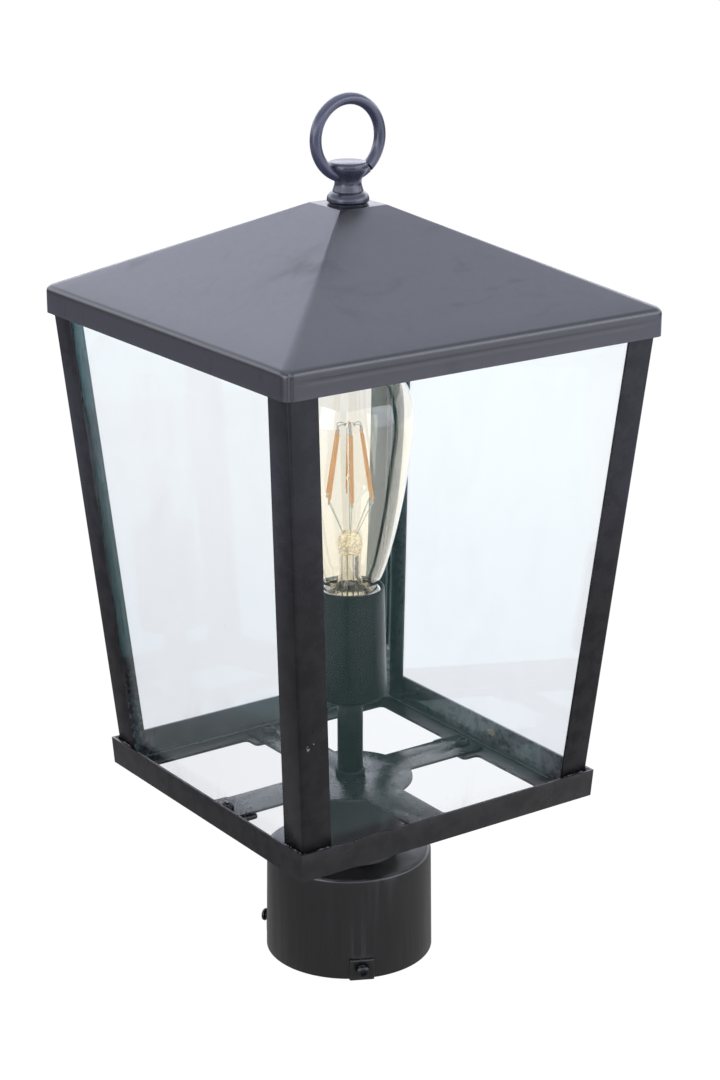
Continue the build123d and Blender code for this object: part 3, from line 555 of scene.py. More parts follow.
def drawnWire(name, points, radius):  # a round wire through points in space
    pick(path(name, points))
    bpy.ops.object.convert(target="CURVE")
    piece = bpy.context.object
    piece.data.bevel_depth = radius / 1000
    piece.data.bevel_resolution = 2
    piece.data.use_fill_caps = True
    bpy.ops.object.convert(target="MESH")
    piece = bpy.context.object
    tidy(piece, 0.0005)
    return piece


def slab(name, centre, size):  # a block to be softened or cut with
    piece = added(name, bpy.ops.mesh.primitive_cube_add, size=1, location=(0, 0, 0))
    opened(piece)
    stretch(*(value / 1000 for value in size))
    shift(*centre)
    closed()
    return piece


def coiled(piece, pitch, turns, steps):
    modify(piece, "SCREW", axis="Z", angle=2 * math.pi, screw_offset=pitch / 1000, iterations=turns,
           steps=steps, render_steps=steps, use_merge_vertices=True, merge_threshold=0.000001)
    tidy(piece)


def threaded(name, root, crest, pitch, low, high, steps):  # a closed screw thread between two heights
    form = [(root, 0), (root, 0.12 * pitch), (crest, 0.44 * pitch), (crest, 0.56 * pitch),
            (root, 0.88 * pitch), (root, pitch)]
    start = low - 1.5 * pitch
    piece = outline(name, [(x, start + z) for x, z in form])
    closed()
    coiled(piece, pitch, math.ceil((high - low) / pitch) + 3, steps)
    for height, above in ((high, True), (low, False)):
        opened(piece)
        bpy.ops.mesh.bisect(plane_co=(0, 0, height / 1000), plane_no=(0, 0, 1), use_fill=True,
                            clear_outer=above, clear_inner=not above)
        closed()
    tidy(piece)
    return piece


def reworked(node, name, dissolve=1.0):  # a merged copy of a node's mesh, ready for more work
    piece = bpy.data.objects.new(name, frame["nodes"][node].data.copy())
    bpy.context.scene.collection.objects.link(piece)
    piece.data.name = name
    piece.data.materials.clear()
    opened(piece)
    bpy.ops.mesh.remove_doubles(threshold=0.000002)
    bpy.ops.mesh.dissolve_limited(angle_limit=math.radians(dissolve))
    closed()
    return piece


def joined(name, pieces):
    pick(*pieces)
    if len(pieces) > 1:
        bpy.ops.object.join()
    whole = bpy.context.object
    whole.name = whole.data.name = name
    return whole


def copied(piece, name, turn=0.0, offset=(0, 0, 0)):  # a copy with its own mesh, turned about the axis
    twin = bpy.data.objects.new(name, piece.data.copy())
    bpy.context.scene.collection.objects.link(twin)
    twin.data.name = name
    opened(twin)
    if turn:
        swing(-turn, "Z")
    shift(*offset)
    closed()
    return twin


def around(name, turns, *pieces):  # the pieces copied to every turn and joined
    whole = joined(name, [copied(piece, "copy", turn) for piece in pieces for turn in turns])
    drop(*pieces)
    return whole


def fit(piece, body, finishes, replaced=(), smooth=35):  # smooths, dresses and seats a finished piece
    for finish in finishes:
        piece.data.materials.append(finish)
    pick(piece)
    bpy.ops.object.shade_smooth_by_angle(angle=math.radians(smooth))
    bpy.ops.object.transform_apply(location=True, rotation=True, scale=True)
    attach(piece, body)
    if replaced:
        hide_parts(*replaced)
    return piece


roofLook = {"half": 101.3, "skirt": 310.7, "bend": 3.6, "bendZ": 320.54, "corner": 4.5, "tipHalf": 12.6,
            "tip": 365.6, "tipBend": 1.6, "pitch": 25.76, "sheet": 0.8, "hole": 3.2, "fold": 0.45,
            "crease": 0.3, "lip": 0.12, "skirtRows": (0, 2.6, 5.0, 6.2, 7.0, 7.8, 8.8), "creaseRow": 7.0,
            "lipRow": 5.0}


def roofRows(look):  # (half width, height) of every row of the sheet, from the skirt up
    rows = [(look["half"], look["skirt"] + rise) for rise in look["skirtRows"]]
    lean = 90 - look["pitch"]
    for part in range(7):
        angle = math.radians(lean * part / 6)
        rows.append((look["half"] - look["bend"] * (1 - math.cos(angle)),
                     look["bendZ"] + look["bend"] * math.sin(angle)))
    foot = rows[-1]
    tipCentre = (look["tipHalf"] - look["tipBend"] * math.tan(math.radians(look["pitch"] / 2)),
                 look["tip"] - look["tipBend"])
    tips = []
    for part in range(4):
        angle = math.radians(lean + look["pitch"] * part / 3)
        tips.append((tipCentre[0] + look["tipBend"] * math.cos(angle),
                     tipCentre[1] + look["tipBend"] * math.sin(angle)))
    for part in range(1, 9):
        rows.append(tuple(foot[i] + (tips[0][i] - foot[i]) * part / 9 for i in (0, 1)))
    return rows + tips


def makeRoof():
    look = roofLook
    rows = roofRows(look)
    roof = added("roofSheet", bpy.ops.mesh.primitive_grid_add, x_subdivisions=14, y_subdivisions=14,
                 size=2 * look["half"] / 1000, location=(0, 0, look["skirt"] / 1000))
    bpy.ops.object.transform_apply(location=True)
    choose(roof, "vertices", lambda vertex: min(abs(vertex.co.x), abs(vertex.co.y)) * 1000 > look["half"]
           - 0.1)
    bpy.ops.mesh.bevel(offset=look["corner"] / 1000, segments=8, affect="VERTICES")
    bpy.ops.mesh.select_all(action="SELECT")
    for before, after in zip(rows, rows[1:]):
        step = (0, 0, (after[1] - before[1]) / 1000)
        bpy.ops.mesh.extrude_region_move(TRANSFORM_OT_translate={"value": step})
        share = after[0] / before[0]
        stretch(share, share, 1)
    choose(roof, "polygons", lambda face: face.center.z * 1000 < look["skirt"] + 0.01)
    bpy.ops.mesh.delete(type="FACE")
    closed()
    tidy(roof)
    creaseRoof(roof, look)
    modify(roof, "SOLIDIFY", thickness=look["sheet"] / 1000, offset=-1, use_even_offset=True)
    drill(roof, look["hole"], 20, look["tip"])
    fit(roof, "roof", [coats["roof"]], ["roof"], smooth=42)


def creaseRoof(roof, look):
    half, skirt, fold = look["half"], look["skirt"], look["fold"]
    spring = half - look["corner"]

    def onArc(vertex, degrees, reach):  # on the near corner's arc, close to one angle of it
        x, y, z = vertex.co * 1000
        angle = math.degrees(math.atan2(-(y + spring), -(x + spring)))
        inCorner = x < -spring - 0.01 and y < -spring - 0.01 and z < look["bendZ"] + 2.4
        return inCorner and abs(angle - degrees) < reach

    choose(roof, "vertices", lambda vertex: onArc(vertex, 67.5, 4))  # the folded seam beside the corner
    shift(0.35 * fold, fold, 0)
    choose(roof, "vertices", lambda vertex: onArc(vertex, 56.25, 4) or onArc(vertex, 45, 4))
    shift(-0.2 * fold, -0.3 * fold, 0)
    closed()

    def onSkirt(vertex, axis, side, row, reach):  # in one side's upright skirt, in the row at that height
        place = vertex.co * 1000
        return (abs(place[axis] - side * half) < 0.02 and abs(place.z - skirt - row) < 0.1
                and abs(place[1 - axis]) < reach)

    for axis, side, reach in ((1, -1, 92), (0, 1, 80), (1, 1, 80)):  # the press line under the rounded eave
        choose(roof, "vertices", lambda vertex: onSkirt(vertex, axis, side, look["creaseRow"], reach))
        step = [0, 0, 0]
        step[axis] = -side * look["crease"]
        shift(*step)
        closed()
    choose(roof, "vertices", lambda vertex: onSkirt(vertex, 1, -1, look["lipRow"], 60))
    shift(0, look["lip"], 0)
    closed()


makeRoof()
print("roof made")


postLook = {"outerBend": 1.5, "innerBend": 0.5, "edge": 0.18}


def makePost(node, name, sideX, sideY):
    post = reworked(node, name)

    def ends(edge):
        return [spot(post, index) for index in edge.vertices]

    def middle(edge):
        return sum(ends(edge), Vector()) / 2

    def upright(edge):
        foot, head = ends(edge)
        return abs(foot.z - head.z) > 100

    folds = [middle(edge) for edge in post.data.edges if upright(edge)
             and all(abs(sideX * end.x - sideY * end.y) < 0.05 for end in ends(edge))]
    folds.sort(key=lambda point: sideX * point.x + sideY * point.y)
    for corner, bend in ((folds[0], postLook["innerBend"]), (folds[-1], postLook["outerBend"])):
        choose(post, "edges", lambda edge: upright(edge) and (middle(edge) - corner).length < 0.05)
        bpy.ops.mesh.bevel(offset=bend / 1000, segments=6, affect="EDGES")
        closed()
    soften(post, postLook["edge"], 2, 40)
    fit(post, "lantern", [coats["post"]], [node])


for node, name, sideX, sideY in (("corner_post_front_left", "postFrontLeft", -1, -1),
                                 ("corner_post_front_right", "postFrontRight", 1, -1),
                                 ("corner_post_back_right", "postBackRight", 1, 1),
                                 ("corner_post_back_left", "postBackLeft", -1, 1)):
    makePost(node, name, sideX, sideY)

for node, name, edge, coat in (("base_frame", "baseAngle", 0.28, "base"),
                               ("top_frame", "topAngle", 0.22, "post"),
                               ("spider_plate", "spiderPlate", 0.22, "hub"),
                               ("roof_bridge", "roofStrap", 0.25, "post"),
                               ("post_fitter", "postCup", 0.5, "fitter")):
    strip = reworked(node, name)
    soften(strip, edge, 2, 30)
    fit(strip, "lantern", [coats[coat]], [node])
print("posts and frames made")


weldLook = {"postFace": 80.7, "gap": 0.75, "height": 99.3, "run": 14.5, "blob": 0.85, "grain": 0.42}


def makeWelds():  # uneven beads where the posts meet the base frame's upstand
    look = weldLook
    random.seed(7)
    blobs = []
    middle = look["postFace"] + look["gap"]
    places = [(-middle + 0.3, -middle + 0.3)]
    for part in range(1, 9):
        reach = look["run"] * part / 8.0
        places += [(-middle + reach, -middle), (-middle, -middle + reach)]
    for x, y in places:
        size = look["blob"] * random.uniform(0.62, 1.25)
        bpy.ops.mesh.primitive_ico_sphere_add(subdivisions=2, radius=size / 1000, location=(
            (x + random.uniform(-0.15, 0.15)) / 1000, (y + random.uniform(-0.15, 0.15)) / 1000,
            (look["height"] + random.uniform(-0.25, 0.35)) / 1000))
        blob = bpy.context.object
        blob.scale = (random.uniform(0.9, 1.4), random.uniform(0.9, 1.4), random.uniform(0.7, 1.1))
        bpy.ops.object.transform_apply(location=True, rotation=True, scale=True)
        blobs.append(blob)
    weld = joined("weldFrontLeft", blobs)
    modify(weld, "REMESH", mode="VOXEL", voxel_size=look["grain"] / 1000)
    modify(weld, "SMOOTH", factor=0.5, iterations=2)
    copies = [copied(weld, name, turn) for name, turn in (("weldFrontRight", 90), ("weldBackRight", 180),
                                                         ("weldBackLeft", 270))]
    for piece in [weld] + copies:
        fit(piece, "lantern", [coats["weld"]], smooth=80)


makeWelds()
print("welds made")


paneEdge = 0.3


def makePane(node, name, axis):
    pane = reworked(node, name)
    soften(pane, paneEdge, 1, 40)
    fit(pane, "lantern", [glassPane, glassEdge], [node], smooth=15)
    for face in pane.data.polygons:
        face.material_index = 0 if abs(face.normal[axis]) > 0.95 else 1


for node, name, axis in (("glass_pane_front", "paneFront", 1), ("glass_pane_right", "paneRight", 0),
                         ("glass_pane_back", "paneBack", 1), ("glass_pane_left", "paneLeft", 0)):
    makePane(node, name, axis)

sealantLook = {"grain": 0.45, "lump": 3.0, "lumpDepth": 1.1}
beads = reworked("glass_sealant", "siliconeBeads")
modify(beads, "REMESH", mode="VOXEL", voxel_size=sealantLook["grain"] / 1000)
roughen(beads, sealantLook["lump"], sealantLook["lumpDepth"])
modify(beads, "SMOOTH", factor=0.5, iterations=3)
fit(beads, "lantern", [silicone], ["glass_sealant"], smooth=80)
print("panes and sealant made")


finialLook = {"foot": 366.6, "ringZ": 394.9, "ring": 17.35, "wire": 2.65, "gapAt": 38.0, "gapHalf": 1.12,
              "footHalf": 20}


def makeFinial():
    look = finialLook
    bead = curved([(9.0, 366.6), (9.45, 366.8), (9.57, 367.4), (9.45, 368.4), (9.0, 369.5), (8.2, 370.4),
                   (7.4, 370.95)])
    waist = curved([(6.95, 371.1), (6.95, 371.5), (6.55, 372.8), (6.1, 374.6), (6.25, 376.3), (6.9, 377.9),
                    (7.9, 379.3), (8.7, 380.6), (9.05, 381.9), (8.95, 383.1), (8.65, 383.9)])
    rim = [(8.3, 384.28), (7.9, 384.4), (0, 384.4)]
    neck = turned("finialNeck", [(0, look["foot"])] + bead + waist + rim, 96)
    fit(neck, "finial", [coats["finial"]], ["finial_neck"], smooth=50)
    washer = turned("finialWasher",
                    [(3.3, 365.6), (8.95, 365.6), (9.1, 365.72), (9.1, 366.0), (8.95, 366.15),
                     (8.2, 366.58), (3.3, 366.58), (3.3, 365.6)], 96)
    fit(washer, "finial_washer", [coats["finial"]], ["finial_washer"], smooth=40)
    ring = added("finialRing", bpy.ops.mesh.primitive_torus_add, major_segments=160, minor_segments=32,
                 major_radius=look["ring"] / 1000, minor_radius=look["wire"] / 1000, location=(0, 0, 0))
    opened(ring)
    swing(90, "X")
    shift(0, 0, look["ringZ"])
    closed()

    def degrees(face):  # 0 at the ring's lowest point, growing towards +X
        return math.degrees(math.atan2(face.center.x * 1000, look["ringZ"] - face.center.z * 1000))

    choose(ring, "polygons", lambda face: abs(degrees(face) - look["gapAt"]) < look["gapHalf"]
           or abs(degrees(face)) < look["footHalf"])
    bpy.ops.mesh.delete(type="FACE")
    bpy.ops.mesh.select_all(action="SELECT")
    bpy.ops.mesh.fill_holes(sides=0)
    bpy.ops.mesh.normals_make_consistent(inside=False)
    closed()
    soften(ring, 0.25, 2, 50)
    fit(ring, "finial", [coats["ring"]], ["finial_ring"], smooth=50)


makeFinial()
print("finial made")


holderLook = {"cupLow": 130.0, "cupTop": 185.0, "lowRadius": 17.6, "topRadius": 16.25, "hole": 5.2}


def makeHolder():
    look = holderLook
    low, top, wide, tight = look["cupLow"], look["cupTop"], look["lowRadius"], look["topRadius"]
    cup = turned("holderCup", [
        (look["hole"], low), (wide - 3.4, low), (wide - 1.7, low + 0.45), (wide - 0.6, low + 1.5),
        (wide - 0.1, low + 3.2), (tight + 0.02, top - 1.4), (tight, top - 0.5), (tight - 0.15, top - 0.12),
        (tight - 0.45, top), (tight - 0.8, top - 0.12), (tight - 0.98, top - 0.5), (wide - 1.1, low + 3.4),
        (wide - 1.7, low + 2.0), (wide - 3.2, low + 1.0), (look["hole"], low + 1.0), (look["hole"], low)],
                 128)
    fit(cup, "lantern", [coats["cup"]], ["socket_cup"], smooth=40)
    stem = turned("stemTube",
                  [(5.1, 92.7), (5.9, 92.7), (6.1, 92.95), (6.1, 129.7), (5.95, 129.95), (5.1, 130.0),
                   (5.1, 92.7)], 64)
    fit(stem, "lantern", [coats["cup"]], ["stem_tube"], smooth=40)
    collar = turned("stemCollar",
                    [(5.1, 88.8), (6.8, 88.8), (7.1, 89.1), (7.1, 92.0), (6.85, 92.5), (6.4, 92.7),
                     (5.1, 92.7), (5.1, 88.8)], 64)
    fit(collar, "lantern", [coats["cup"]], ["stem_collar"], smooth=40)


makeHolder()


threadLook = {"shellRoot": 12.25, "shellCrest": 13.05, "lampPitch": 3.629, "nipplePitch": 0.94,
              "studPitch": 1.0, "nippleBore": 3.6}


def makeThreads():
    look = threadLook
    shell = threaded("lampThread", look["shellRoot"], look["shellCrest"], look["lampPitch"], 167.9, 181.4,
                     64)
    modify(shell, "SUBSURF", levels=1, render_levels=1)
    cap = turned("lampCap", [(9.6, 165.0), (10.9, 166.3), (12.2, 167.6), (12.25, 168.3), (11.9, 168.3),
                             (11.9, 181.2), (12.3, 181.2), (12.9, 181.7), (13.1, 182.4), (13.1, 184.4),
                             (12.8, 184.4), (12.8, 182.6), (11.6, 181.0), (11.6, 168.0), (9.6, 165.3),
                             (9.6, 165.0)], 96)
    base = joined("lampBase", [shell, cap])
    fit(base, "bulb", [metals["nickelShell"]], ["bulb_base"], smooth=60)
    nipple = threaded("nippleThread", 4.55, 5.0, look["nipplePitch"], 77.3, 139.9, 32)
    drill(nipple, look["nippleBore"], 80, 108.6)
    fit(nipple, "lantern", [metals["zincPlate"]], ["threaded_nipple"], smooth=30)
    stud = threaded("studThread", 2.45, 3.0, look["studPitch"], 338.0, 376.6, 24)
    fit(stud, "lantern", [metals["zincPlate"]], ["roof_stud"], smooth=30)


makeThreads()
print("lampholder and threads made")


bulbLook = {"wall": 0.38,
            "profile": [(12.3, 184.6), (12.9, 186.6), (14.1, 188.8), (15.6, 191.6), (18.2, 199.5),
                        (21.5, 212), (24.9, 228), (27.8, 245.5), (29.5, 257), (30.0, 265.5), (29.3, 273.2),
                        (26.9, 280.6), (22.4, 286.4), (15.6, 290.3), (8.0, 291.8), (0, 292.0)]}


def makeBulb():
    envelope = turned("bulbEnvelope", [(12.3, 179.2), (12.3, 182.0)] + curved(bulbLook["profile"], 5), 128)
    modify(envelope, "SOLIDIFY", thickness=bulbLook["wall"] / 1000, offset=-1)
    fit(envelope, "bulb", [glassAmber], ["bulb_glass"], smooth=80)


makeBulb()
print("bulb made")


mountLook = {"flare": 11.3, "tube": 5.3, "wall": 0.9, "tubeLow": 191.0, "pressLow": 203.0,
             "pressTop": 212.3, "press": 5.5, "rod": 1.15, "bubbleZ": 237.7, "bubble": 1.75, "button": 2.7,
             "buttonZ": 263.0, "across": -35.15, "leads": (-3.5, -1.2, 1.5, 3.8)}


def makeMount():  # glass foot of the bulb: flare, tube, crumpled press, rod and button
    look = mountLook
    tube, wall, low = look["tube"], look["wall"], look["tubeLow"]
    flare = curved([(look["flare"], 179.0), (9.2, 180.6), (7.0, 184.0), (5.8, 187.8), (tube, low)], 4)
    press = curved([(tube, look["pressLow"]), (look["press"], 205.2), (5.2, 208.6), (3.6, 211.0),
                    (look["rod"], look["pressTop"])], 6)
    bubble = curved([(look["rod"], look["bubbleZ"] - 1.3), (look["bubble"], look["bubbleZ"]),
                     (look["rod"], look["bubbleZ"] + 1.3)], 4)
    top = look["buttonZ"]
    button = [(look["rod"], top - 1.0), (1.7, top - 0.2), (look["button"], top),
              (look["button"], top + 0.6), (1.9, top + 1.2), (0, top + 1.55)]
    inside = [(0, 202.6), (1.9, 202.3), (tube - wall - 0.5, 201.4), (tube - wall, 200.2),
              (tube - wall, low)]
    lining = curved([(tube - wall, low), (6.2, 185.6), (8.4, 181.6), (10.5, 179.0)], 4)
    mount = turned("mountGlass", inside[:-1] + lining + flare + press + bubble + button, 72)
    choose(mount, "vertices",
           lambda point: look["pressLow"] + 0.4 < point.co.z * 1000 < look["pressTop"] - 0.6
           and point.co.xy.length > 0.0016)
    bpy.ops.mesh.subdivide(number_cuts=1)
    bpy.context.scene.cursor.location = (0.031, 0.017, 0.2)  # the draws follow the distance from this point
    bpy.ops.mesh.sort_elements(type="CURSOR_DISTANCE", elements={"VERT"})
    bpy.ops.transform.vertex_random(offset=0.0005, uniform=0.4, normal=0.8, seed=3)
    closed()
    fit(mount, "bulb", [glassClear], ["bulb_mount"], smooth=60)
    across = math.radians(look["across"])
    for number, place in enumerate(look["leads"]):
        x, y = place * math.cos(across), place * math.sin(across)
        lead = drawnWire("leadWire" + str(number), [(x, y, 180.0), (x * 1.06, y * 1.06, 190), (x, y, 201.5),
                                                     (0.8 * x, 0.8 * y, 205.5)], 0.3)
        fit(lead, "bulb", [metals["drawnWire"]], smooth=60)


filamentLook = {"count": 6, "turn": 0.0, "radius": 0.98, "top": (6.4, 260.0), "low": (11.6, 229.0),
                "flat": 0.72, "wire": 0.2}


def makeFilaments():
    look = filamentLook
    (topX, topZ), (lowX, lowZ) = look["top"], look["low"]
    length = math.hypot(lowX - topX, topZ - lowZ)
    lean = math.degrees(math.atan2(lowX - topX, topZ - lowZ))
    coated = turned("filament", [(0, 0), (0.55, 0), (0.85, 0.2), (look["radius"], 0.7)]
                    + [(look["radius"] - 0.03 * (step % 2), 0.7 + step * (length - 1.4) / 56)
                       for step in range(1, 56)]
                    + [(look["radius"], length - 0.7), (0.85, length - 0.2), (0.55, length), (0, length)],
                    20)
    opened(coated)
    stretch(look["flat"], 1, 1)
    closed()
    tab = slab("filamentTab", (0, 0, -0.9), (0.35, 1.3, 2.6))
    soften(tab, 0.1, 2)
    tabs = joined("filamentTabs", [tab, copied(tab, "tabTop", 0, (0, 0, length + 1.8))])
    for piece in (coated, tabs):
        opened(piece)
        swing(lean, "Y")
        shift(lowX, 0, lowZ)
        closed()
    turns = [look["turn"] + 360 / look["count"] * step for step in range(look["count"])]
    filaments = around("filamentStrips", turns, coated)
    ends = around("filamentEnds", turns, tabs)
    fit(filaments, "bulb", [filamentCoat], ["filaments"], smooth=50)
    fit(ends, "bulb", [metals["drawnWire"]], smooth=40)
    hook = drawnWire("supportTop",
                     curved([(2.2, 0, 263.5), (4.4, 0, 263.9), (6.1, 0, 263.4), (6.5, 0, 261.9),
                             (6.4, 0, 260.2)], 4), look["wire"])
    foot = drawnWire("supportLow",
                     curved([(3.2, 0, 208.8), (3.9, 0, 211.6), (9.2, 0, 222.6), (11.5, 0, 227.2),
                             (11.6, 0, 228.9)], 4), look["wire"])
    wires = around("supportWires", turns, hook, foot)
    fit(wires, "bulb", [metals["drawnWire"]], ["filament_supports"], smooth=60)


makeMount()
makeFilaments()
print("bulb's inside made")


socketLook = {"lip": 14.6, "inner": 13.2, "crest": 13.9, "sheet": 0.3, "floor": 160.9, "rim": 183.75,
              "hole": 8.1, "pitch": 3.629}


def makeScrewShell():
    look = socketLook
    low, top, sheet = look["floor"], look["rim"], look["sheet"]
    coil = outline("shellCoil",
                   [(look["inner"], 162.4), (look["crest"], 164.2), (look["inner"], 162.4 + look["pitch"])])
    closed()
    coiled(coil, look["pitch"], 5, 96)
    modify(coil, "SUBSURF", levels=1, render_levels=1)
    modify(coil, "SOLIDIFY", thickness=sheet / 1000, offset=0)
    inner = look["inner"]
    mouth = turned("shellMouth", [
        (inner, 180.6), (inner + 0.1, top - 0.5), (inner + 0.5, top - 0.1), (look["lip"] - 0.15, top),
        (look["lip"], top - 0.15), (look["lip"] - 0.15, top - 0.3), (inner + 0.6, top - 0.42),
        (inner + 0.4, top - 0.7), (inner + sheet, 180.6), (inner, 180.6)], 96)
    foot = turned("shellFoot", [
        (look["hole"], low), (inner - 0.2, low), (inner + 0.2, low + 0.4), (inner + 0.25, 163.2),
        (inner - 0.05, 163.2), (inner - 0.05, low + 0.5), (inner - 0.4, low + 0.3),
        (look["hole"], low + 0.3), (look["hole"], low)], 96)
    shell = joined("screwShell", [coil, mouth, foot])
    fit(shell, "lantern", [metals["nickelShell"]], ["screw_shell"], smooth=60)


makeScrewShell()
print("screw shell made")


screwLook = {"shank": 2.0, "head": 3.6, "tall": 2.2, "pitch": 0.7,
             "turns": {"spider": (0, 90, 180, 270), "bridge": (0, 180)}}


def makeMachineScrew(name, look, tip, top, recess):  # stands on the axis, head up
    seat = top - look["tall"]
    head, shank = look["head"], look["shank"]
    cap = turned(name + "Head", curved([(head - 0.25, seat), (head, seat + 0.35), (head - 0.15, seat + 1.0),
                                        (0.78 * head, top - 0.35), (0.45 * head, top - 0.03), (0, top)], 3)
                 + [(0, seat)] + [(head - 0.25, seat)], 48)
    if recess == "cross":
        driver = slab("driver", (0, 0, top), (1.05 * head, 0.28 * head, 2.4))
        for tool in (driver, copied(driver, "driverWing", 90)):
            soften(tool, 0.12, 2)
            cut(cap, tool)
    else:
        drill(cap, 0.5 * head, 2.6, top, 6)
    thread = threaded(name + "Thread", 0.84 * shank, shank, look["pitch"], tip, seat + 0.05, 20)
    return joined(name, [cap, thread])


def makeScrews():
    look = screwLook
    for name, turns in look["turns"].items():
        node = name + "_screws"
        low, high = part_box(node)
        first = makeMachineScrew(name + "Screw", look, low[2] * 1000, high[2] * 1000, "cross")
        placed = copied(first, "placed", 0, (high[0] * 1000 - look["head"], 0, 0))
        drop(first)
        whole = around(name + "Screws", turns, placed)
        fit(whole, "lantern", [metals["darkSteel"]], [node], smooth=40)


setScrewLook = {"shank": 2.0, "head": 3.1, "tall": 1.9, "pitch": 0.7, "from": 38.75, "to": 46.2,
                "height": 5.8, "turn": 3.6, "bodies": ("set_screw_a", "set_screw_b", "set_screw_c")}


def makeSetScrews():
    look = setScrewLook
    first = makeMachineScrew("setScrewFirst", look, look["from"], look["to"], "hex")
    opened(first)
    swing(-90, "Y")
    shift(0, 0, look["height"])
    closed()
    for number, body in enumerate(look["bodies"]):
        piece = copied(first, "setScrew" + str(number + 1), look["turn"] + 120 * number)
        fit(piece, body, [metals["darkSteel"]], ["set_screw_" + str(number + 1)], smooth=40)
    drop(first)


makeScrews()
makeSetScrews()
print("screws made")


view = {"place": (-0.6348, -0.9109, 0.5704), "target": (0.00438, -0.00309, 0.20715), "lens": 83.41}
studio = {"diffuse": 0.25, "floorHalf": 1.5, "glow": 0.96, "glowStrength": 1.04, "mirrored": 2.4,
          "inner": 1.35, "nearFront": (0.50, 0.49, 0.49), "nearBack": (0.20, 0.20, 0.21),
          "farFront": (1.25, 1.25, 1.55), "farBack": (0.50, 0.51, 0.66), "inPane": 0.5, "aim": (0, 0, 0.22),
          "dome": [(0.03, (0.10, 0.10, 0.12)), (0.12, (0.50, 0.52, 0.62)), (0.20, (0.88, 0.90, 1.0)),
                   (0.36, (0.88, 0.90, 1.0)), (0.47, (0.34, 0.355, 0.43)), (0.62, (0.35, 0.365, 0.44)),
                   (0.9, (0.29, 0.30, 0.36))]}
softboxes = {
    "overhead": {"place": (0.2, 0.4, 2.0), "size": (2.6, 2.6), "watts": 16, "colour": (0.76, 0.80, 1.0)},
    "backStrip": {"place": (0.95, 1.36, 0.70), "size": (1.5, 0.42), "watts": 1.5,
                  "colour": (0.90, 0.92, 1.0)},
    "rightWindow": {"place": (0.60, -1.0, 0.52), "size": (1.0, 0.86), "watts": 3.4,
                    "colour": (0.82, 0.87, 1.0)},
    "leftWindow": {"place": (-1.12, -0.30, 0.42), "size": (0.55, 0.66), "watts": 2.4,
                   "colour": (0.92, 0.94, 1.0)},
    "backBox": {"place": (0.42, 1.77, 1.58), "size": (1.3, 1.1), "watts": 3.2, "colour": (0.77, 0.81, 1.0)},
    }


def aimed(name, data, place, target):  # a camera or lamp at a place, looking at a target
    thing = bpy.data.objects.new(name, data)
    bpy.context.scene.collection.objects.link(thing)
    thing.location = place
    thing.rotation_euler = (Vector(target) - Vector(place)).to_track_quat("-Z", "Y").to_euler()
    return thing


def makeCamera():
    data = bpy.data.cameras.new("camera")
    data.lens = view["lens"]
    data.sensor_width = 36.0
    bpy.context.scene.camera = aimed("camera", data, view["place"], view["target"])


def makeWorld():  # white to the camera and through glass, a pale dome in reflections, dimmer as fill light
    world = bpy.data.worlds.new("studio")
    bpy.context.scene.world = world
    world.use_nodes = True
    sky = Nodes(world.node_tree)
    through = sky.ray("Is Transmission Ray")
    seen = sky.ray("Is Camera Ray").larger(through)
    bounced = (sky.ray("Is Glossy Ray") - through).larger(0)  # a ray through glass also counts as glossy
    plain = seen * (1 - studio["diffuse"]) + studio["diffuse"]
    strength = sky.node("ShaderNodeMix", {}, {0: bounced, 2: plain, 3: studio["mirrored"]})
    direction = sky.node("ShaderNodeTexCoord", out="Generated")
    height = sky.node("ShaderNodeSeparateXYZ", {}, {0: direction}, out="Z")
    dome = sky.node("ShaderNodeValToRGB", {}, {0: height}, out="Color")
    stops = dome.socket.node.color_ramp.elements
    while len(stops) < len(studio["dome"]):
        stops.new(0.5)
    for stop, (place, colour) in zip(stops, studio["dome"]):
        stop.position = place
        stop.color = (*colour, 1)
    back = world.node_tree.nodes["Background"]
    sky.plug(back.inputs["Strength"], strength)
    sky.plug(back.inputs["Color"], sky.blend(bounced, (1, 1, 1), dome))


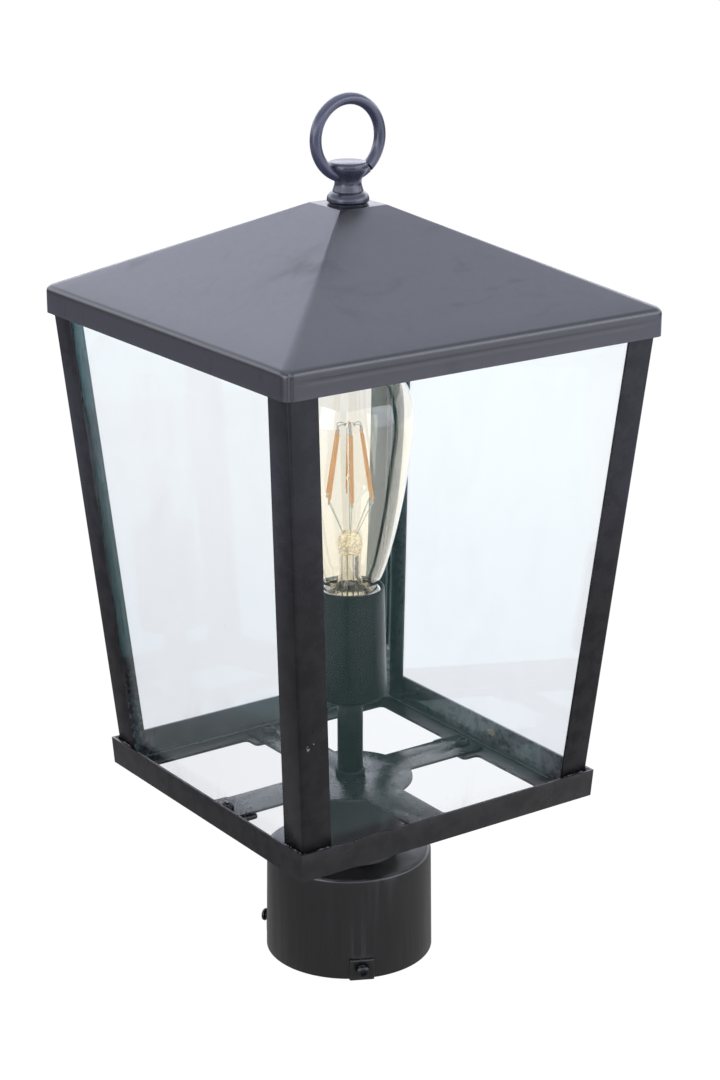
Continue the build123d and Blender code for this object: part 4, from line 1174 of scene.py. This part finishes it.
def unseenThrough(data):  # a lamp lights and is mirrored, and isn't seen straight through the panes
    data.use_nodes = True
    lamp = Nodes(data.node_tree)
    bounces = lamp.ray("Glossy Depth") + lamp.ray("Diffuse Depth")
    straight = (lamp.ray("Is Transmission Ray") - bounces).larger(0)
    lamp.plug(data.node_tree.nodes["Emission"].inputs["Strength"], 1 - straight)


def makeLights():
    for name, look in softboxes.items():
        data = bpy.data.lights.new(name, "AREA")
        unseenThrough(data)
        data.shape = "RECTANGLE"
        data.size, data.size_y = look["size"]
        data.energy = look["watts"]
        data.color = look["colour"]
        aimed(name, data, look["place"], studio["aim"]).visible_camera = False


def makeFloor():  # white to the camera; in reflections painted light in front and far from the lantern, and a painted shadow near it
    floor = added("floor", bpy.ops.mesh.primitive_plane_add, size=2 * studio["floorHalf"],
                  location=(0, 0, 0))
    finish = Finish("floorWhite",
                    {"Base Color": (0.9, 0.9, 0.9), "Roughness": 0.9, "Specular IOR Level": 0.0})
    through = finish.ray("Is Transmission Ray")
    seen = finish.ray("Is Camera Ray").larger(through)
    finish.cover(seen * studio["glow"], finish.glow(studio["glowStrength"]))
    # painted shadow: in reflections the floor is dimmer near the lantern and darkest behind it; painted
    # light makes it brighter far off and in front
    away = finish.near((0, 0, 0)).ramp(380, 1050)
    front = (finish.along("X") * 0.55 - finish.along("Y") * 0.83).ramp(-0.5, 0.5)
    near = finish.blend(front, studio["nearBack"], studio["nearFront"])
    far = finish.blend(front, studio["farBack"], studio["farFront"])
    bounced = (finish.ray("Is Glossy Ray") - through).larger(0)
    finish.cover(bounced, finish.glow(1.0, finish.blend(away, near, far)))
    mirrors = finish.ray("Glossy Depth").smaller(1) * through
    finish.cover(mirrors, finish.glow(studio["inner"]))  # what the bulb and hub mirror through the panes
    own = (3 - finish.ray("Transmission Depth")).ramp(0, 1)
    finish.cover(mirrors * own, finish.glow(studio["inPane"]))  # what a pane mirrors inside itself
    floor.data.materials.append(finish.material)


makeCamera()
makeWorld()
makeLights()
makeFloor()
bpy.context.scene.view_settings.view_transform = "Standard"
print("camera, floor and light set")
